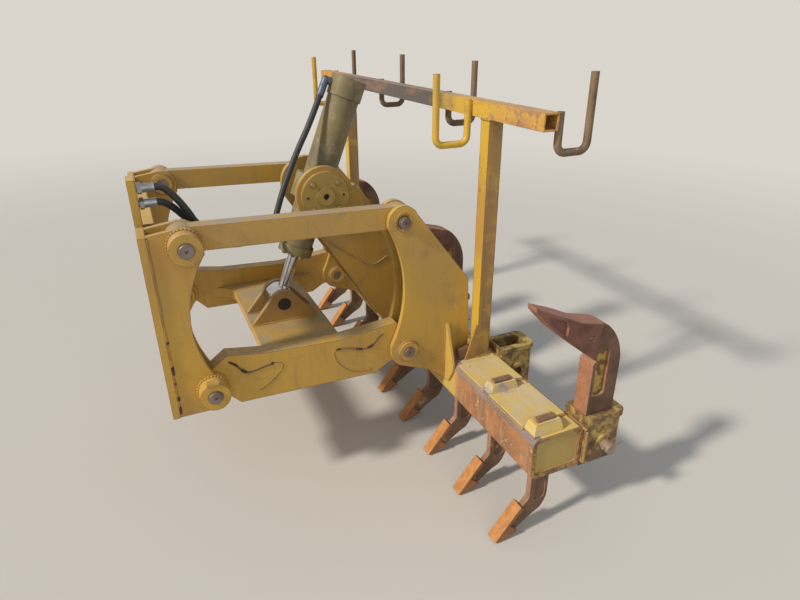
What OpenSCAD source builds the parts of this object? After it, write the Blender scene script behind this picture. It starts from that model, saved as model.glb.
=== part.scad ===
// Rear-mounted ripper-scarifier: a parallel linkage on a bolted hitch, lifted by one cylinder,
// with a tool beam that holds nine scarifier shanks, pockets for ripper shanks and a stake rack.
// X points away from the machine, Y to its right and Z up. The origin is the middle of the hitch face.

/* [Linkage] */
// Length of the links between their pins
link_length = 760; // [700:5:780]
// Drop of the links from front to rear pins at rest
link_drop = 25; // [10:1:40]
// Distance of the upper front pins from the hitch face
upper_pin_x = 132; // [128:1:140]
// Height of the upper front pins over the hitch's middle
upper_pin_z = 290; // [284:1:296]
// How much further back the lower pins lie than the upper ones
pin_offset = 16; // [10:1:22]
// Height between the upper and the lower pins
pin_spacing = 540; // [532:1:548]
// Distance of each link's middle from the centre plane
link_y = 443; // [436:1:450]
// Thickness of each link
link_t = 60; // [50:1:62]
// Depth of the upper links
upper_link_h = 83; // [76:1:90]
// Depth of the lower link's arms
arm_h = 186; // [170:1:196]
// Gap between a link and the plate beside it
side_gap = 2; // [1.5:0.5:4]

/* [Pins] */
// Diameter of the hitch pins
hitch_pin_d = 50; // [44:1:56]
// Diameter of the carriage pins
carriage_pin_d = 45; // [40:1:50]
// Radius of the lobes round the link pins
lobe_r = 56; // [50:1:58]
// Radial play of every pin in its bore
fit = 0.05; // [0.03:0.01:0.08]

/* [Hitch] */
// Thickness of the hitch's mounting flanges
flange_t = 25; // [20:1:32]
// Height of the hitch's mounting flanges
flange_h = 664; // [640:2:690]
// Width of each mounting flange
flange_w = 205; // [190:1:215]
// Thickness of the linkage plates
plate_t = 25; // [20:1:28]
// Radius of the pin bosses on the hitch
boss_r = 52; // [46:1:56]
// How far the hitch bosses stand proud
boss_l = 55; // [30:1:70]
// Least distance from the hitch face to its waisted edge
waist_x = 112; // [100:1:120]
// Radius of the hitch plates' waisted edge
waist_r = 440; // [420:5:500]
// Spacing of the hitch bolts across the machine
bolt_span_y = 680; // [660:5:690]
// Height between the outer hitch bolts
bolt_span_z = 560; // [540:5:600]
// Height between the inner hitch bolts
inner_span_z = 280; // [220:5:320]
// Diameter of the hitch bolt holes
bolt_hole_d = 33; // [26:1:36]
// Depth of the hitch's cross members
cross_d = 60; // [50:1:70]
// Height of the hitch's cross members
cross_h = 120; // [100:1:130]

/* [Carriage] */
// Radius of the concave front edge of the carriage plates
front_r = 525; // [500:5:600]
// Furthest point back of that edge, behind the upper rear pins
front_bulge = 5; // [0:1:12]
// Radius of the carriage plates' upper lobe
ear_r = 60; // [56:1:62]
// Radius of the carriage plates' lower lobe
heel_r = 70; // [62:1:76]
// Thickness of the sloping cover on the trunnion brackets
cover_t = 22; // [16:1:26]

/* [Tool beam] */
// Distance from the carriage's lower pins to the front of the beam
beam_setback = 180; // [174:1:186]
// Height of the beam's top under the carriage's lower pins
beam_drop = 75; // [70:1:80]
// Depth of the beam, front to rear
beam_d = 214; // [206:1:224]
// Height of the beam
beam_h = 172; // [160:1:180]
// Wall of the beam
beam_wall = 16; // [12:1:20]
// Outer radius of the beam's corners
beam_r = 28; // [22:1:32]
// How far the end caps lie inside the beam's ends
cap_recess = 7; // [4:1:12]
// Thickness of the end caps
cap_end_t = 12; // [10:1:16]
// Thickness of the pads on the beam
pad_t = 12; // [8:1:16]
// Height of the collars round the shanks' heads
collar_h = 42; // [36:1:46]
// Wall of those collars at their rim
collar_wall = 12; // [9:1:14]
// Width of the gussets beside the carriage plates
gusset_w = 72; // [60:1:80]
// Height of those gussets over the beam
gusset_h = 165; // [140:1:180]
// Thickness of those gussets
gusset_t = 10; // [8:1:14]
// Spacing of the scarifier shanks
shank_pitch = 266.7; // [262:0.1:270]
// Number of scarifier shanks
shank_n = 9; // [9:1:9]
// How far the beam's ends reach past the outer shanks
beam_over = 45; // [40:1:52]

/* [Scarifier] */
// Width of a scarifier shank, front to rear
scar_w = 76; // [68:1:76]
// Thickness of a scarifier shank
scar_t = 25; // [20:1:30]
// Distance of the shanks behind the beam's front
scar_setback = 34; // [30:1:34]
// How far the shanks rise over the beam
scar_head = 50; // [46:1:56]
// Inner radius of the shank's bend
scar_bend_r = 25; // [20:1:34]
// Angle of the shank's bend
scar_bend = 44; // [40:1:46]
// How far the bend starts under the beam
scar_straight = 110; // [100:1:114]
// Depth of the groove in each side of a shank
scar_groove = 3; // [2:0.5:5]
// Width of the groove
scar_groove_w = 44; // [36:1:48]
// Length of the tooth from the end of the bend
tooth_l = 193; // [180:1:196]
// Width of the tooth
tooth_w = 50; // [44:1:56]

/* [Ripper shanks] */
// Width of a ripper shank, front to rear
rip_w = 116; // [110:1:122]
// Thickness of a ripper shank
rip_t = 66; // [60:1:70]
// Wall of a pocket
pocket_wall = 24; // [20:1:28]
// Height of a pocket
pocket_h = 190; // [180:1:200]
// How far a pocket rises over the beam's top
pocket_rise = 28; // [24:1:36]
// Wall of a pocket behind the shank
pocket_back = 36; // [32:1:42]
// Radius of a pocket's rear corners
pocket_r = 30; // [24:1:36]
// Height of the rim round a pocket's mouth
pocket_rim_h = 20; // [16:1:26]
// How far that rim stands out
pocket_rim = 5; // [3:1:8]
// How far the bosses round the pins stand out
pin_boss = 10; // [6:1:14]
// Play between a ripper shank and its pocket
pocket_gap = 2; // [1:0.5:4]
// Diameter of the pocket pins
pocket_pin_d = 42; // [38:1:46]
// How far a pocket pin reaches past its boss on the left
pin_out = 38; // [30:1:46]
// Inner radius of the ripper shank's bend
rip_bend_r = 94; // [86:1:100]
// Angle of the ripper shank's bend
rip_bend = 52; // [50:1:54]
// Height of the straight part over the pocket
rip_straight = 185; // [176:1:200]
// Depth of the hollow in each side of a ripper shank
rip_hollow = 14; // [8:1:18]
// Width of that hollow
rip_hollow_w = 50; // [40:1:60]
// Length of a ripper tip from the end of the bend
tip_l = 317; // [300:1:330]
// Width of a ripper tip
tip_w = 80; // [78:1:88]
// Width of its point
tip_point = 44; // [36:1:52]

/* [Cylinder] */
// Distance of the trunnion behind the upper front pins
trunnion_dx = 577; // [572:1:582]
// Height of the trunnion over the upper front pins
trunnion_dz = 8; // [4:1:12]
// Distance of the rod pin behind the lower front pins
rod_pin_dx = 370; // [362:1:376]
// Height of the rod pin over the lower front pins
rod_pin_dz = 78; // [74:1:80]
// Outer diameter of the cylinder's barrel
barrel_d = 130; // [124:1:136]
// Wall of the barrel
barrel_wall = 14; // [10:1:16]
// Length of the barrel over the trunnion
barrel_up = 440; // [430:1:450]
// Length of the barrel under the trunnion
barrel_down = 252; // [250:1:256]
// Height of the collar at the barrel's head
head_collar = 60; // [50:1:66]
// How far that collar stands out
head_out = 6; // [4:1:8]
// Length of the rod gland
gland_l = 38; // [34:1:40]
// Diameter of the rod
rod_d = 50; // [44:1:56]
// Diameter of the rod's eye
eye_d = 118; // [110:1:122]
// Width of the rod's eye
eye_w = 92; // [84:1:96]
// Diameter of the rod pin
rod_pin_d = 55; // [50:1:60]
// Thickness of each clevis ear
ear_t = 25; // [20:1:30]
// Gap between the rod's eye and a clevis ear
ear_gap = 6; // [5:1:8]
// Diameter of the trunnion pins
trunnion_d = 84; // [76:1:90]
// Radius of the trunnion brackets' head
head_r = 115; // [110:1:120]
// Inner distance of a trunnion bracket from the centre plane
bracket_y = 105; // [102:1:110]
// Thickness of a trunnion bracket
bracket_t = 30; // [25:1:35]
// Radius of the trunnion caps
cap_r = 98; // [92:1:104]
// Thickness of the trunnion caps
cap_t = 20; // [16:1:24]

/* [Lower link deck] */
// Thickness of the deck
deck_t = 50; // [40:1:60]
// Depth of the deck's top under the rod pin
deck_drop = 78; // [76:1:82]
// Distance from the rod pin to the deck's front edge
deck_front = 146; // [140:1:152]
// Distance from the rod pin to the deck's rear edge
deck_rear = 168; // [160:1:174]
// Radius of the corners between deck and arms
deck_corner = 95; // [80:1:100]

/* [Stake rack] */
// Width of the rack's square tube
rack_d = 57; // [50:1:60]
// Wall of the rack's tube
rack_wall = 6; // [4:1:8]
// Height of the rack's tube over the beam
rack_h = 962; // [900:2:1100]
// Length of the rack's tube
rack_l = 2265; // [2200:5:2300]
// How far the rack's middle lies to the machine's right
rack_shift = 272; // [260:1:280]
// Distance of the posts behind the beam's front
post_setback = 111; // [111:1:116]
// Width of the gussets at the posts' feet
foot_w = 54; // [44:1:60]
// Height of the gussets at the posts' feet
foot_h = 150; // [120:1:170]
// Diameter of the hooks' rod
hook_d = 26; // [20:1:30]
// Inside radius of the hooks' bends
hook_bend = 18; // [12:1:24]
// How far the rear hooks reach back
rear_reach = 118; // [100:1:126]
// Height of the rear hooks' free legs over the tube's underside
rear_leg = 170; // [150:1:180]
// Drop of the rear hooks under the tube
rear_low = 72; // [60:1:80]
// How far the front hooks reach forward
front_reach = 132; // [120:1:140]
// Height of the front hooks' free legs over the tube's underside
front_leg = 148; // [130:1:160]
// Drop of the front hooks under the tube
front_low = 100; // [90:1:110]
// Distance of the first rear hook from the tube's left end
hook_inset_left = 13.5; // [13:0.5:30]
// Distance of the last rear hook from the tube's right end
hook_inset_right = 91.5; // [60:0.5:120]

/* [Hoses] */
// Diameter of the hoses
hose_d = 24; // [20:1:26]
// Diameter of the crimped hose ends
crimp_d = 30; // [28:1:32]
// How far the hose bracket rises over the upper hose
hose_bracket_over = 34; // [30:1:45]

/* [Hidden] */
$fn = 64;
eps = 0.01;
uf = [upper_pin_x, upper_pin_z];
lf = [upper_pin_x + pin_offset, upper_pin_z - pin_spacing];
link = [sqrt(link_length * link_length - link_drop * link_drop), -link_drop];
ur = uf + link;
lr = lf + link;
trunnion = uf + [trunnion_dx, trunnion_dz];
rod_pin = lf + [rod_pin_dx, rod_pin_dz];
axis_angle = atan2(trunnion[0] - rod_pin[0], trunnion[1] - rod_pin[1]);
axis_length = norm(trunnion - rod_pin);
inner_y = link_y - link_t / 2 - side_gap - plate_t;
outer_y = link_y + link_t / 2 + side_gap;
beam_x = lr[0] + beam_setback;
beam_z = lr[1] - beam_drop;
beam_half = (shank_n - 1) / 2 * shank_pitch + beam_over;
scar_x = beam_x + scar_setback;
slot_gap = 0.4;
bend_z = beam_z - beam_h - scar_straight;
pocket_x = beam_x + beam_d;
shank_x = pocket_x + pocket_gap + 6;
pocket_z = beam_z + pocket_rise - pocket_h;
pocket_pin = [shank_x + 72, beam_z - 90];
post_x = beam_x + post_setback;
rack_z = beam_z + rack_h;
deck_z = rod_pin[1] - deck_drop;
// Rows: shank number of each pocket, and 1 where a ripper shank is stored in it
POCKETS = [[0, 1], [2, 0], [4, 1], [6, 0], [8, 1]];
// Rows: the shanks between which a pad lies, and its clearance from each
PADS = [[0, 1, 30, 20], [1, 2, 20, 60], [6, 7, 60, 20], [7, 8, 20, 140]];
// Shanks that stand in a collar
COLLARS = [0, 1, 3, 4, 5, 7, 8];
// Across the machine: rear hooks, front hooks and posts
rack_left = rack_shift - rack_l / 2;
hook_pitch = (rack_l - hook_inset_left - hook_inset_right) / 3;
REAR_HOOKS = [for (i = [0 : 3]) rack_left + hook_inset_left + i * hook_pitch];
FRONT_HOOKS = [REAR_HOOKS[1] - 298, REAR_HOOKS[3] - 258];
POSTS = [-527.5, 968.5];
// The two hoses, from the hitch to the cylinder's upper and lower ports
HOSE_A_FRONT = [[80, -340, 448], [86, -340, 448], [103, -340, 444], [122, -341, 427], [145, -342, 397],
                [168, -343, 358], [192, -343, 312]];
HOSE_A_REAR = [[236, -338, 262], [272, -312, 224], [322, -266, 196], [380, -213, 183], [440, -168, 180],
               [484, -136, 200], [510, -120, 240], [534, -110, 295], [560, -100, 350], [588, -90, 403],
               [612, -81, 446], [641, -69, 492], [680, -55, 552], [716, -39, 612], [746, -23, 664]];
HOSE_B_FRONT = [[80, -340, 398], [86, -340, 398], [102, -338, 393], [122, -332, 377], [144, -322, 351],
                [166, -311, 321], [192, -300, 287]];
HOSE_B_REAR = [[240, -280, 228], [276, -252, 196], [322, -202, 170], [374, -144, 151], [422, -86, 143],
               [464, -44, 144], [504, -20, 150]];

function shank_y(k) = (k - (shank_n - 1) / 2) * shank_pitch;

// A profile drawn in X and Z, extruded from y0 by t
module slab(y0, t) {
    translate([0, y0 + t, 0]) rotate([90, 0, 0]) linear_extrude(t) children();
}

module disc(c, r) {
    translate(c) circle(r);
}

// The same on both sides of the centre plane
module both_sides() {
    children();
    mirror([0, 1, 0]) children();
}

// A round bar along Y through c, from y0 by l
module cross_bar(c, r, y0, l) {
    translate([c[0], y0 + l, c[1]]) rotate([90, 0, 0]) cylinder(h = l, r = r);
}

module hitch_outline() {
    difference() {
        polygon([[flange_t, -flange_h / 2], [flange_t, flange_h / 2], [uf[0] - 8, uf[1] + lobe_r],
                 [uf[0] + lobe_r, uf[1]], [lf[0] + lobe_r, lf[1]], [lf[0] + 10, -flange_h / 2]]);
        disc([waist_x + waist_r, (uf[1] + lf[1]) / 2 - 15], waist_r);
    }
    disc(uf, lobe_r);
    disc(lf, lobe_r);
}

module hitch_flanges() {
    color("goldenrod") {
        both_sides() difference() {
            translate([0, outer_y + plate_t + 5 - flange_w, -flange_h / 2])
                cube([flange_t, flange_w, flange_h]);
            for (z = [-bolt_span_z, -inner_span_z, inner_span_z, bolt_span_z])
                translate([-1, bolt_span_y / 2, z / 2]) rotate([0, 90, 0])
                    cylinder(h = flange_t + 2, d = bolt_hole_d);
        }
        inside = outer_y + plate_t + 5 - flange_w;
        for (z = [-flange_h / 2 + 20, flange_h / 2 - 20 - cross_h])
            translate([0, -inside, z]) difference() {
                cube([cross_d, 2 * inside, cross_h]);
                translate([10, -1, 10]) cube([cross_d - 20, 2 * inside + 2, cross_h - 20]);
            }
    }
}

module hitch_plates() {
    color("goldenrod") both_sides() {
        difference() {
            union() {
                slab(inner_y, plate_t) hitch_outline();
                for (p = [uf, lf]) cross_bar(p, boss_r - 10, inner_y - 15, 15 + eps);
            }
            for (p = [uf, lf]) cross_bar(p, hitch_pin_d / 2 + fit, inner_y - 20, plate_t + 30);
        }
        difference() {
            union() {
                slab(outer_y, plate_t) hitch_outline();
                for (p = [uf, lf]) cross_bar(p, boss_r, outer_y, plate_t + boss_l);
            }
            for (p = [uf, lf]) cross_bar(p, hitch_pin_d / 2 + fit, outer_y - 5, plate_t + boss_l + 10);
        }
    }
}

module hitch_pins() {
    color("dimgray") both_sides()
        for (p = [uf, lf])
            cross_bar(p, hitch_pin_d / 2, inner_y - 13, outer_y - inner_y + plate_t + boss_l + 16);
}

HOSES = [HOSE_A_FRONT, HOSE_B_FRONT];
hose_sides = 10;
function unit(v) = v / norm(v);
function tangent(path, i) = unit(path[min(i + 1, len(path) - 1)] - path[max(i - 1, 0)]);

// A round bar from p to q
module bar(p, q, r) {
    d = q - p;
    translate(p) rotate([0, acos(d[2] / norm(d)), atan2(d[1], d[0])]) cylinder(h = norm(d), r = r);
}

// A hose swept along the points of its route
module hose(path) {
    n = len(path);
    s = hose_sides;
    rings = [for (i = [0 : n - 1]) let (t = tangent(path, i), u = unit(cross(t, [0, 1, 0])), w = cross(t, u))
             for (j = [0 : s - 1]) path[i] + hose_d / 2 * (cos(j * 360 / s) * u + sin(j * 360 / s) * w)];
    walls = [for (i = [0 : n - 2]) for (j = [0 : s - 1]) let (k = (j + 1) % s)
             [(i + 1) * s + j, (i + 1) * s + k, i * s + k, i * s + j]];
    ends = [[for (j = [0 : s - 1]) j], [for (j = [s - 1 : -1 : 0]) (n - 1) * s + j]];
    color("black") polyhedron(rings, concat(walls, ends));
}
module hose_a_front() { hose(HOSE_A_FRONT); }
module hose_b_front() { hose(HOSE_B_FRONT); }
module hose_a_rear() { hose(HOSE_A_REAR); }
module hose_b_rear() { hose(HOSE_B_REAR); }

module hose_bracket() {
    y = HOSE_A_FRONT[0][1];
    color("goldenrod") difference() {
        translate([0, y - 40, flange_h / 2])
            cube([flange_t, 80, HOSE_A_FRONT[0][2] + hose_bracket_over - flange_h / 2]);
        for (path = HOSES) translate([-1, y, path[0][2]]) rotate([0, 90, 0])
            cylinder(h = flange_t + 2, d = hose_d + 2 * fit);
    }
}

module hose_fittings() {
    color("silver") for (path = HOSES) translate([0, path[0][1], path[0][2]]) rotate([0, 90, 0]) {
        translate([0, 0, 2]) cylinder(h = path[0][0] - 2, d = hose_d);
        translate([0, 0, flange_t + 2]) cylinder(h = 14, d = crimp_d + 10, $fn = 6);
        translate([0, 0, 38]) cylinder(h = path[0][0] - 38, d = crimp_d);
    }
}

module upper_link(side) {
    y0 = side * link_y - link_t / 2;
    color("goldenrod") difference() {
        slab(y0, link_t) {
            polygon([uf + [0, -32], ur + [0, -32], ur + [0, upper_link_h - 32], uf + [0, upper_link_h - 32]]);
            disc(uf, lobe_r);
            disc(ur, ear_r - 4);
        }
        cross_bar(uf, hitch_pin_d / 2 + fit, y0 - 1, link_t + 2);
        cross_bar(ur, carriage_pin_d / 2 + fit, y0 - 1, link_t + 2);
    }
}
module upper_link_left() { upper_link(-1); }
module upper_link_right() { upper_link(1); }

module arm_outline() {
    top = lf[1] + 86;
    polygon([lf + [-10, lobe_r - 2], [lf[0] + 63, top + 21], [lf[0] + 197, top], [lr[0] - 286, top - 13],
             [lr[0] - 37, top + 11], lr + [20, lobe_r - 2], lr + [45, -30], [lr[0] - 73, top - arm_h + 26],
             [lr[0] - 132, top - arm_h - 9], [lf[0] + 92, top - arm_h + 3], lf + [40, -40]]);
    disc(lf, lobe_r);
    disc(lr, lobe_r);
}

module lower_link() {
    inner = link_y - link_t / 2;
    color("goldenrod") difference() {
        union() {
            both_sides() slab(inner, link_t) arm_outline();
            translate([0, 0, deck_z - deck_t]) linear_extrude(deck_t) difference() {
                translate([rod_pin[0] - deck_front - deck_corner, -inner - eps])
                    square([deck_front + deck_rear + 2 * deck_corner, 2 * inner + 2 * eps]);
                for (end = [-1, 1]) {
                    edge = end < 0 ? rod_pin[0] - deck_front : rod_pin[0] + deck_rear;
                    translate([edge - (end < 0 ? 2 * deck_corner : 0), -inner + deck_corner])
                        square([2 * deck_corner, 2 * (inner - deck_corner)]);
                    for (s = [-1, 1])
                        translate([edge + end * deck_corner, s * (inner - deck_corner)]) circle(deck_corner);
                }
            }
        }
        both_sides() {
            cross_bar(lf, hitch_pin_d / 2 + fit, inner - 1, link_t + 2);
            cross_bar(lr, carriage_pin_d / 2 + fit, inner - 1, link_t + 2);
        }
    }
}

module rod_clevis() {
    y0 = eye_w / 2 + ear_gap;
    color("goldenrod") both_sides() difference() {
        slab(y0, ear_t) {
            polygon(concat([[rod_pin[0] - 138, deck_z], [rod_pin[0] - 138, deck_z + 10]],
                           [rod_pin + 62 * [cos(125), sin(125)], rod_pin + 62 * [cos(50), sin(50)]],
                           [[rod_pin[0] + 138, deck_z + 8], [rod_pin[0] + 138, deck_z]]));
            disc(rod_pin, 62);
        }
        cross_bar(rod_pin, rod_pin_d / 2 + fit, y0 - 1, ear_t + 2);
    }
}

module clevis_pin_ends() {
    color("dimgray") both_sides() cross_bar(rod_pin, rod_pin_d / 2, eye_w / 2 + ear_gap, ear_t - 8);
}

// The beam's rounded upper edge at the front
module beam_corner() {
    disc([beam_x + beam_r, beam_z - beam_r], beam_r);
}

module carriage_outline() {
    hip = [beam_x + 87, beam_z + 344];
    difference() {
        polygon([[ur[0] - ear_r, ur[1]], ur + ear_r * [cos(52), sin(52)], hip, [beam_x + 99, beam_z + 108],
                 [beam_x + 97, beam_z], [beam_x + beam_r, beam_z], [beam_x, beam_z - beam_r],
                 [beam_x, beam_z - 100], lr + [94, -113],
                 lr + heel_r * [cos(240), sin(240)], [lr[0] - heel_r, lr[1]]]);
        disc([ur[0] + front_bulge - front_r, (ur[1] + lr[1]) / 2], front_r);
        beam_corner();
    }
    disc(ur, ear_r);
    disc(lr, heel_r);
}

module carriage_plates() {
    color("goldenrod") both_sides() {
        difference() {
            union() {
                slab(inner_y, plate_t) carriage_outline();
                cross_bar(lr, 42, inner_y - 15, 15 + eps);
            }
            for (p = [ur, lr]) cross_bar(p, carriage_pin_d / 2 + fit, inner_y - 20, plate_t + 30);
        }
        difference() {
            union() {
                slab(outer_y, plate_t) carriage_outline();
                cross_bar(lr, 42, outer_y + plate_t - eps, 15);
            }
            for (p = [ur, lr]) cross_bar(p, carriage_pin_d / 2 + fit, outer_y - 5, plate_t + 30);
        }
    }
}

module carriage_pins() {
    color("darkgray") both_sides()
        for (p = [ur, lr]) cross_bar(p, carriage_pin_d / 2, inner_y - 10, outer_y - inner_y + plate_t + 26);
}

// Slope of the trunnion brackets, from the head down to the beam
slope = [sin(32), -cos(32)];
normal = [cos(32), sin(32)];
function slope_point(offset, z) = let (p = trunnion + offset * normal) p + (p[1] - z) / cos(32) * slope;

module bracket_outline() {
    difference() {
        polygon([trunnion - head_r * normal, trunnion + head_r * normal, slope_point(head_r, beam_z),
                 [beam_x + beam_r, beam_z], [beam_x, beam_z - beam_r],
                 [beam_x, beam_z - 100], slope_point(-head_r, beam_z - 38)]);
        beam_corner();
    }
    disc(trunnion, head_r);
}

module trunnion_bracket() {
    color("goldenrod") {
        both_sides() difference() {
            slab(bracket_y, bracket_t) bracket_outline();
            cross_bar(trunnion, trunnion_d / 2 + fit, bracket_y - 1, bracket_t + 2);
        }
        slab(-bracket_y - bracket_t, 2 * (bracket_y + bracket_t))
            polygon([trunnion + head_r * normal + 60 * slope, trunnion + (head_r + cover_t) * normal + 60 * slope,
                     slope_point(head_r + cover_t, beam_z), slope_point(head_r, beam_z)]);
    }
}

module trunnion_caps() {
    y0 = bracket_y + bracket_t;
    color("goldenrod") both_sides() difference() {
        union() {
            cross_bar(trunnion, cap_r, y0, cap_t);
            cross_bar(trunnion, 38, y0 + cap_t - eps, 8);
        }
        cross_bar(trunnion, 12, y0 + cap_t - 6, 20);
    }
}

module beam_gussets() {
    y0 = outer_y + plate_t;
    color("goldenrod") both_sides() translate([beam_x - gusset_t, y0, beam_z])
        rotate([90, 0, 90]) linear_extrude(gusset_t)
            polygon([[0, -96], [0, gusset_h], [12, gusset_h], [gusset_w, 0], [gusset_w, -30], [34, -96]]);
}

// A rectangle from corner a to corner b, with rounded corners
module rounded(a, b, r) {
    translate(a + [r, 0]) square([b[0] - a[0] - 2 * r, b[1] - a[1]]);
    translate(a + [0, r]) square([b[0] - a[0], b[1] - a[1] - 2 * r]);
    for (x = [a[0] + r, b[0] - r], z = [a[1] + r, b[1] - r]) disc([x, z], r);
}

module beam_outline(inset) {
    rounded([beam_x + inset, beam_z - beam_h + inset], [beam_x + beam_d - inset, beam_z - inset],
            beam_r - inset);
}

// A collar round a shank's head, with sides that slope outward to its foot
module collar() {
    w = scar_t / 2 + collar_wall;
    intersection() {
        slab(-w - 20, 2 * w + 40)
            polygon([[scar_x - 24, beam_z - 10], [scar_x + scar_w + 24, beam_z - 10],
                     [scar_x + scar_w + 24, beam_z], [scar_x + scar_w + collar_wall, beam_z + collar_h],
                     [scar_x - collar_wall, beam_z + collar_h], [scar_x - 24, beam_z]]);
        translate([scar_x - 40, 0, beam_z]) rotate([90, 0, 90]) linear_extrude(scar_w + 80)
            polygon([[-w - 8, -10], [w + 8, -10], [w + 8, 0], [w, collar_h], [-w, collar_h], [-w - 8, 0]]);
    }
}

module tool_beam() {
    color("goldenrod") difference() {
        union() {
            difference() {
                slab(-beam_half, 2 * beam_half) beam_outline(0);
                slab(-beam_half - 1, 2 * beam_half + 2) beam_outline(beam_wall);
            }
            for (row = PADS) {
                y0 = shank_y(row[0]) + row[2];
                translate([beam_x + 6, y0, beam_z - 12])
                    cube([beam_d - 36, shank_y(row[1]) - row[3] - y0, pad_t + 12]);
            }
            for (k = COLLARS) translate([0, shank_y(k), 0]) collar();
        }
        for (k = [0 : shank_n - 1])
            translate([scar_x - slot_gap, shank_y(k) - scar_t / 2 - slot_gap, beam_z - beam_h - 1])
                cube([scar_w + 2 * slot_gap, scar_t + 2 * slot_gap, beam_h + collar_h + 2]);
    }
}

module beam_end_caps() {
    color("darkgoldenrod") both_sides()
        slab(beam_half - cap_end_t - cap_recess, cap_end_t) beam_outline(beam_wall + fit);
}

pocket_in = [shank_x - pocket_x + rip_w + pocket_gap, rip_t + 2 * pocket_gap];

// A pocket seen from above, larger by grow, with round rear corners
module pocket_outline(grow) {
    l = pocket_in[0] + pocket_back + grow;
    w = pocket_in[1] / 2 + pocket_wall + grow;
    translate([0, -w]) square([l - pocket_r, 2 * w]);
    translate([0, -w + pocket_r]) square([l, 2 * w - 2 * pocket_r]);
    for (side = [-1, 1]) disc([l - pocket_r, side * (w - pocket_r)], pocket_r);
}

module ripper_pockets() {
    w = pocket_in[1] / 2 + pocket_wall + pin_boss;
    pin = pocket_pin - [pocket_x, pocket_z];
    color("saddlebrown") for (row = POCKETS)
        translate([pocket_x, shank_y(row[0]), pocket_z]) difference() {
            union() {
                linear_extrude(pocket_h) pocket_outline(0);
                translate([0, 0, pocket_h - pocket_rim_h]) linear_extrude(pocket_rim_h)
                    pocket_outline(pocket_rim);
                cross_bar(pin, pocket_pin_d / 2 + 17, -w, 2 * w);
            }
            translate([6, -pocket_in[1] / 2, -1]) cube([pocket_in[0] - 6, pocket_in[1], pocket_h + 2]);
            cross_bar(pin, pocket_pin_d / 2 + fit, -w - 1, 2 * w + 2);
        }
}

rip_top = pocket_z + pocket_h + rip_straight;
rip_centre = [shank_x - rip_bend_r, rip_top];
rip_dir = [-sin(rip_bend), cos(rip_bend)];
rip_up = [cos(rip_bend), sin(rip_bend)];
rip_nose = rip_centre + (rip_bend_r + rip_w / 2) * rip_up;
// A point by its distances along and above the nose's middle line
function on_nose(a, up) = rip_nose + a * rip_dir + up * rip_up;

// The shank is bent round its front, steps down at the neck and ends in a tapered nose
module ripper_outline() {
    difference() {
        union() {
            translate([shank_x, pocket_z - 30]) square([rip_w, rip_top - pocket_z + 30]);
            intersection() {
                translate(rip_centre) difference() {
                    circle(rip_bend_r + rip_w);
                    circle(rip_bend_r);
                }
                translate(rip_centre) polygon([[0, 0], [400, 0], [400, 400 * tan(rip_bend)]]);
            }
        }
        polygon([on_nose(-62, -rip_w / 2 + 8), on_nose(9, -rip_w / 2 + 8), on_nose(9, -rip_w),
                 on_nose(-62, -rip_w)]);
    }
    polygon([on_nose(-eps, -rip_w / 2 + 8), on_nose(-eps, rip_w / 2), on_nose(24, rip_w / 2 - 6),
             on_nose(24, rip_w / 2 - 20), on_nose(105, 0), on_nose(120, -14), on_nose(120, -rip_w / 2 + 8)]);
}

module ripper_shanks() {
    x0 = shank_x + 14;
    top = rip_top + 74;
    color("sienna") for (row = POCKETS) if (row[1] == 1)
        translate([0, shank_y(row[0]), 0]) difference() {
            union() {
                slab(-rip_t / 2, rip_t) ripper_outline();
                cross_bar(on_nose(28, -9), 8, -tip_w / 2, tip_w);
            }
            cross_bar(pocket_pin, pocket_pin_d / 2 + fit, -rip_t, 2 * rip_t);
            both_sides() slab(rip_t / 2 - rip_hollow, rip_hollow + 1)
                rounded([x0, rip_top - 110], [x0 + rip_hollow_w, top], 18);
        }
}

module tip_outline() {
    polygon([on_nose(-50, -57), on_nose(30, -64), on_nose(176, -59), on_nose(tip_l - 27, -42),
             on_nose(tip_l, -36), on_nose(237, -17), on_nose(168, 1), on_nose(111, 13), on_nose(24, 51),
             on_nose(-6, -13)]);
}

// A cast cap over the shank's nose, held by a pin, with a hollow in each side
module ripper_tips() {
    point_x = on_nose(tip_l, 0)[0];
    color("sienna") for (row = POCKETS) if (row[1] == 1)
        translate([0, shank_y(row[0]), 0]) difference() {
            intersection() {
                slab(-tip_w / 2, tip_w) tip_outline();
                translate([0, 0, rip_top - 200]) linear_extrude(800)
                    polygon([[shank_x + 60, -tip_w / 2], [shank_x + 60, tip_w / 2],
                             [shank_x - 170, tip_w / 2], [point_x, tip_point / 2],
                             [point_x, -tip_point / 2], [shank_x - 170, -tip_w / 2]]);
            }
            slab(-rip_t / 2 - 0.3, rip_t + 0.6) ripper_outline();
            cross_bar(on_nose(28, -9), 11, -tip_w, 2 * tip_w);
            both_sides() slab(tip_w / 2 - 9, 20)
                polygon([on_nose(250, -34), on_nose(172, -11), on_nose(146, -23), on_nose(130, -48),
                         on_nose(156, -50), on_nose(226, -44)]);
        }
}

// Each pin reaches out on the left, with a retaining bar through its end
module pocket_pins() {
    out = pocket_in[1] / 2 + pocket_wall + pin_boss;
    color("dimgray") for (row = POCKETS) if (row[1] == 1) {
        y0 = shank_y(row[0]) - out - pin_out;
        cross_bar(pocket_pin, pocket_pin_d / 2, y0, 2 * out + pin_out + 14);
        translate([pocket_pin[0] - pocket_pin_d / 2 - 12, y0 + 14, pocket_pin[1] + 6]) rotate([0, 90, 0])
            cylinder(h = pocket_pin_d + 56, r = 4);
    }
}

scar_centre = [scar_x - scar_bend_r, bend_z];
scar_dir = [-sin(scar_bend), -cos(scar_bend)];
scar_up = [-cos(scar_bend), sin(scar_bend)];
scar_front = scar_centre + scar_bend_r * [cos(scar_bend), -sin(scar_bend)];
// A point by its distances along and in front of the bent end's front face
function on_shank(a, up) = scar_front + a * scar_dir + up * scar_up;

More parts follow.
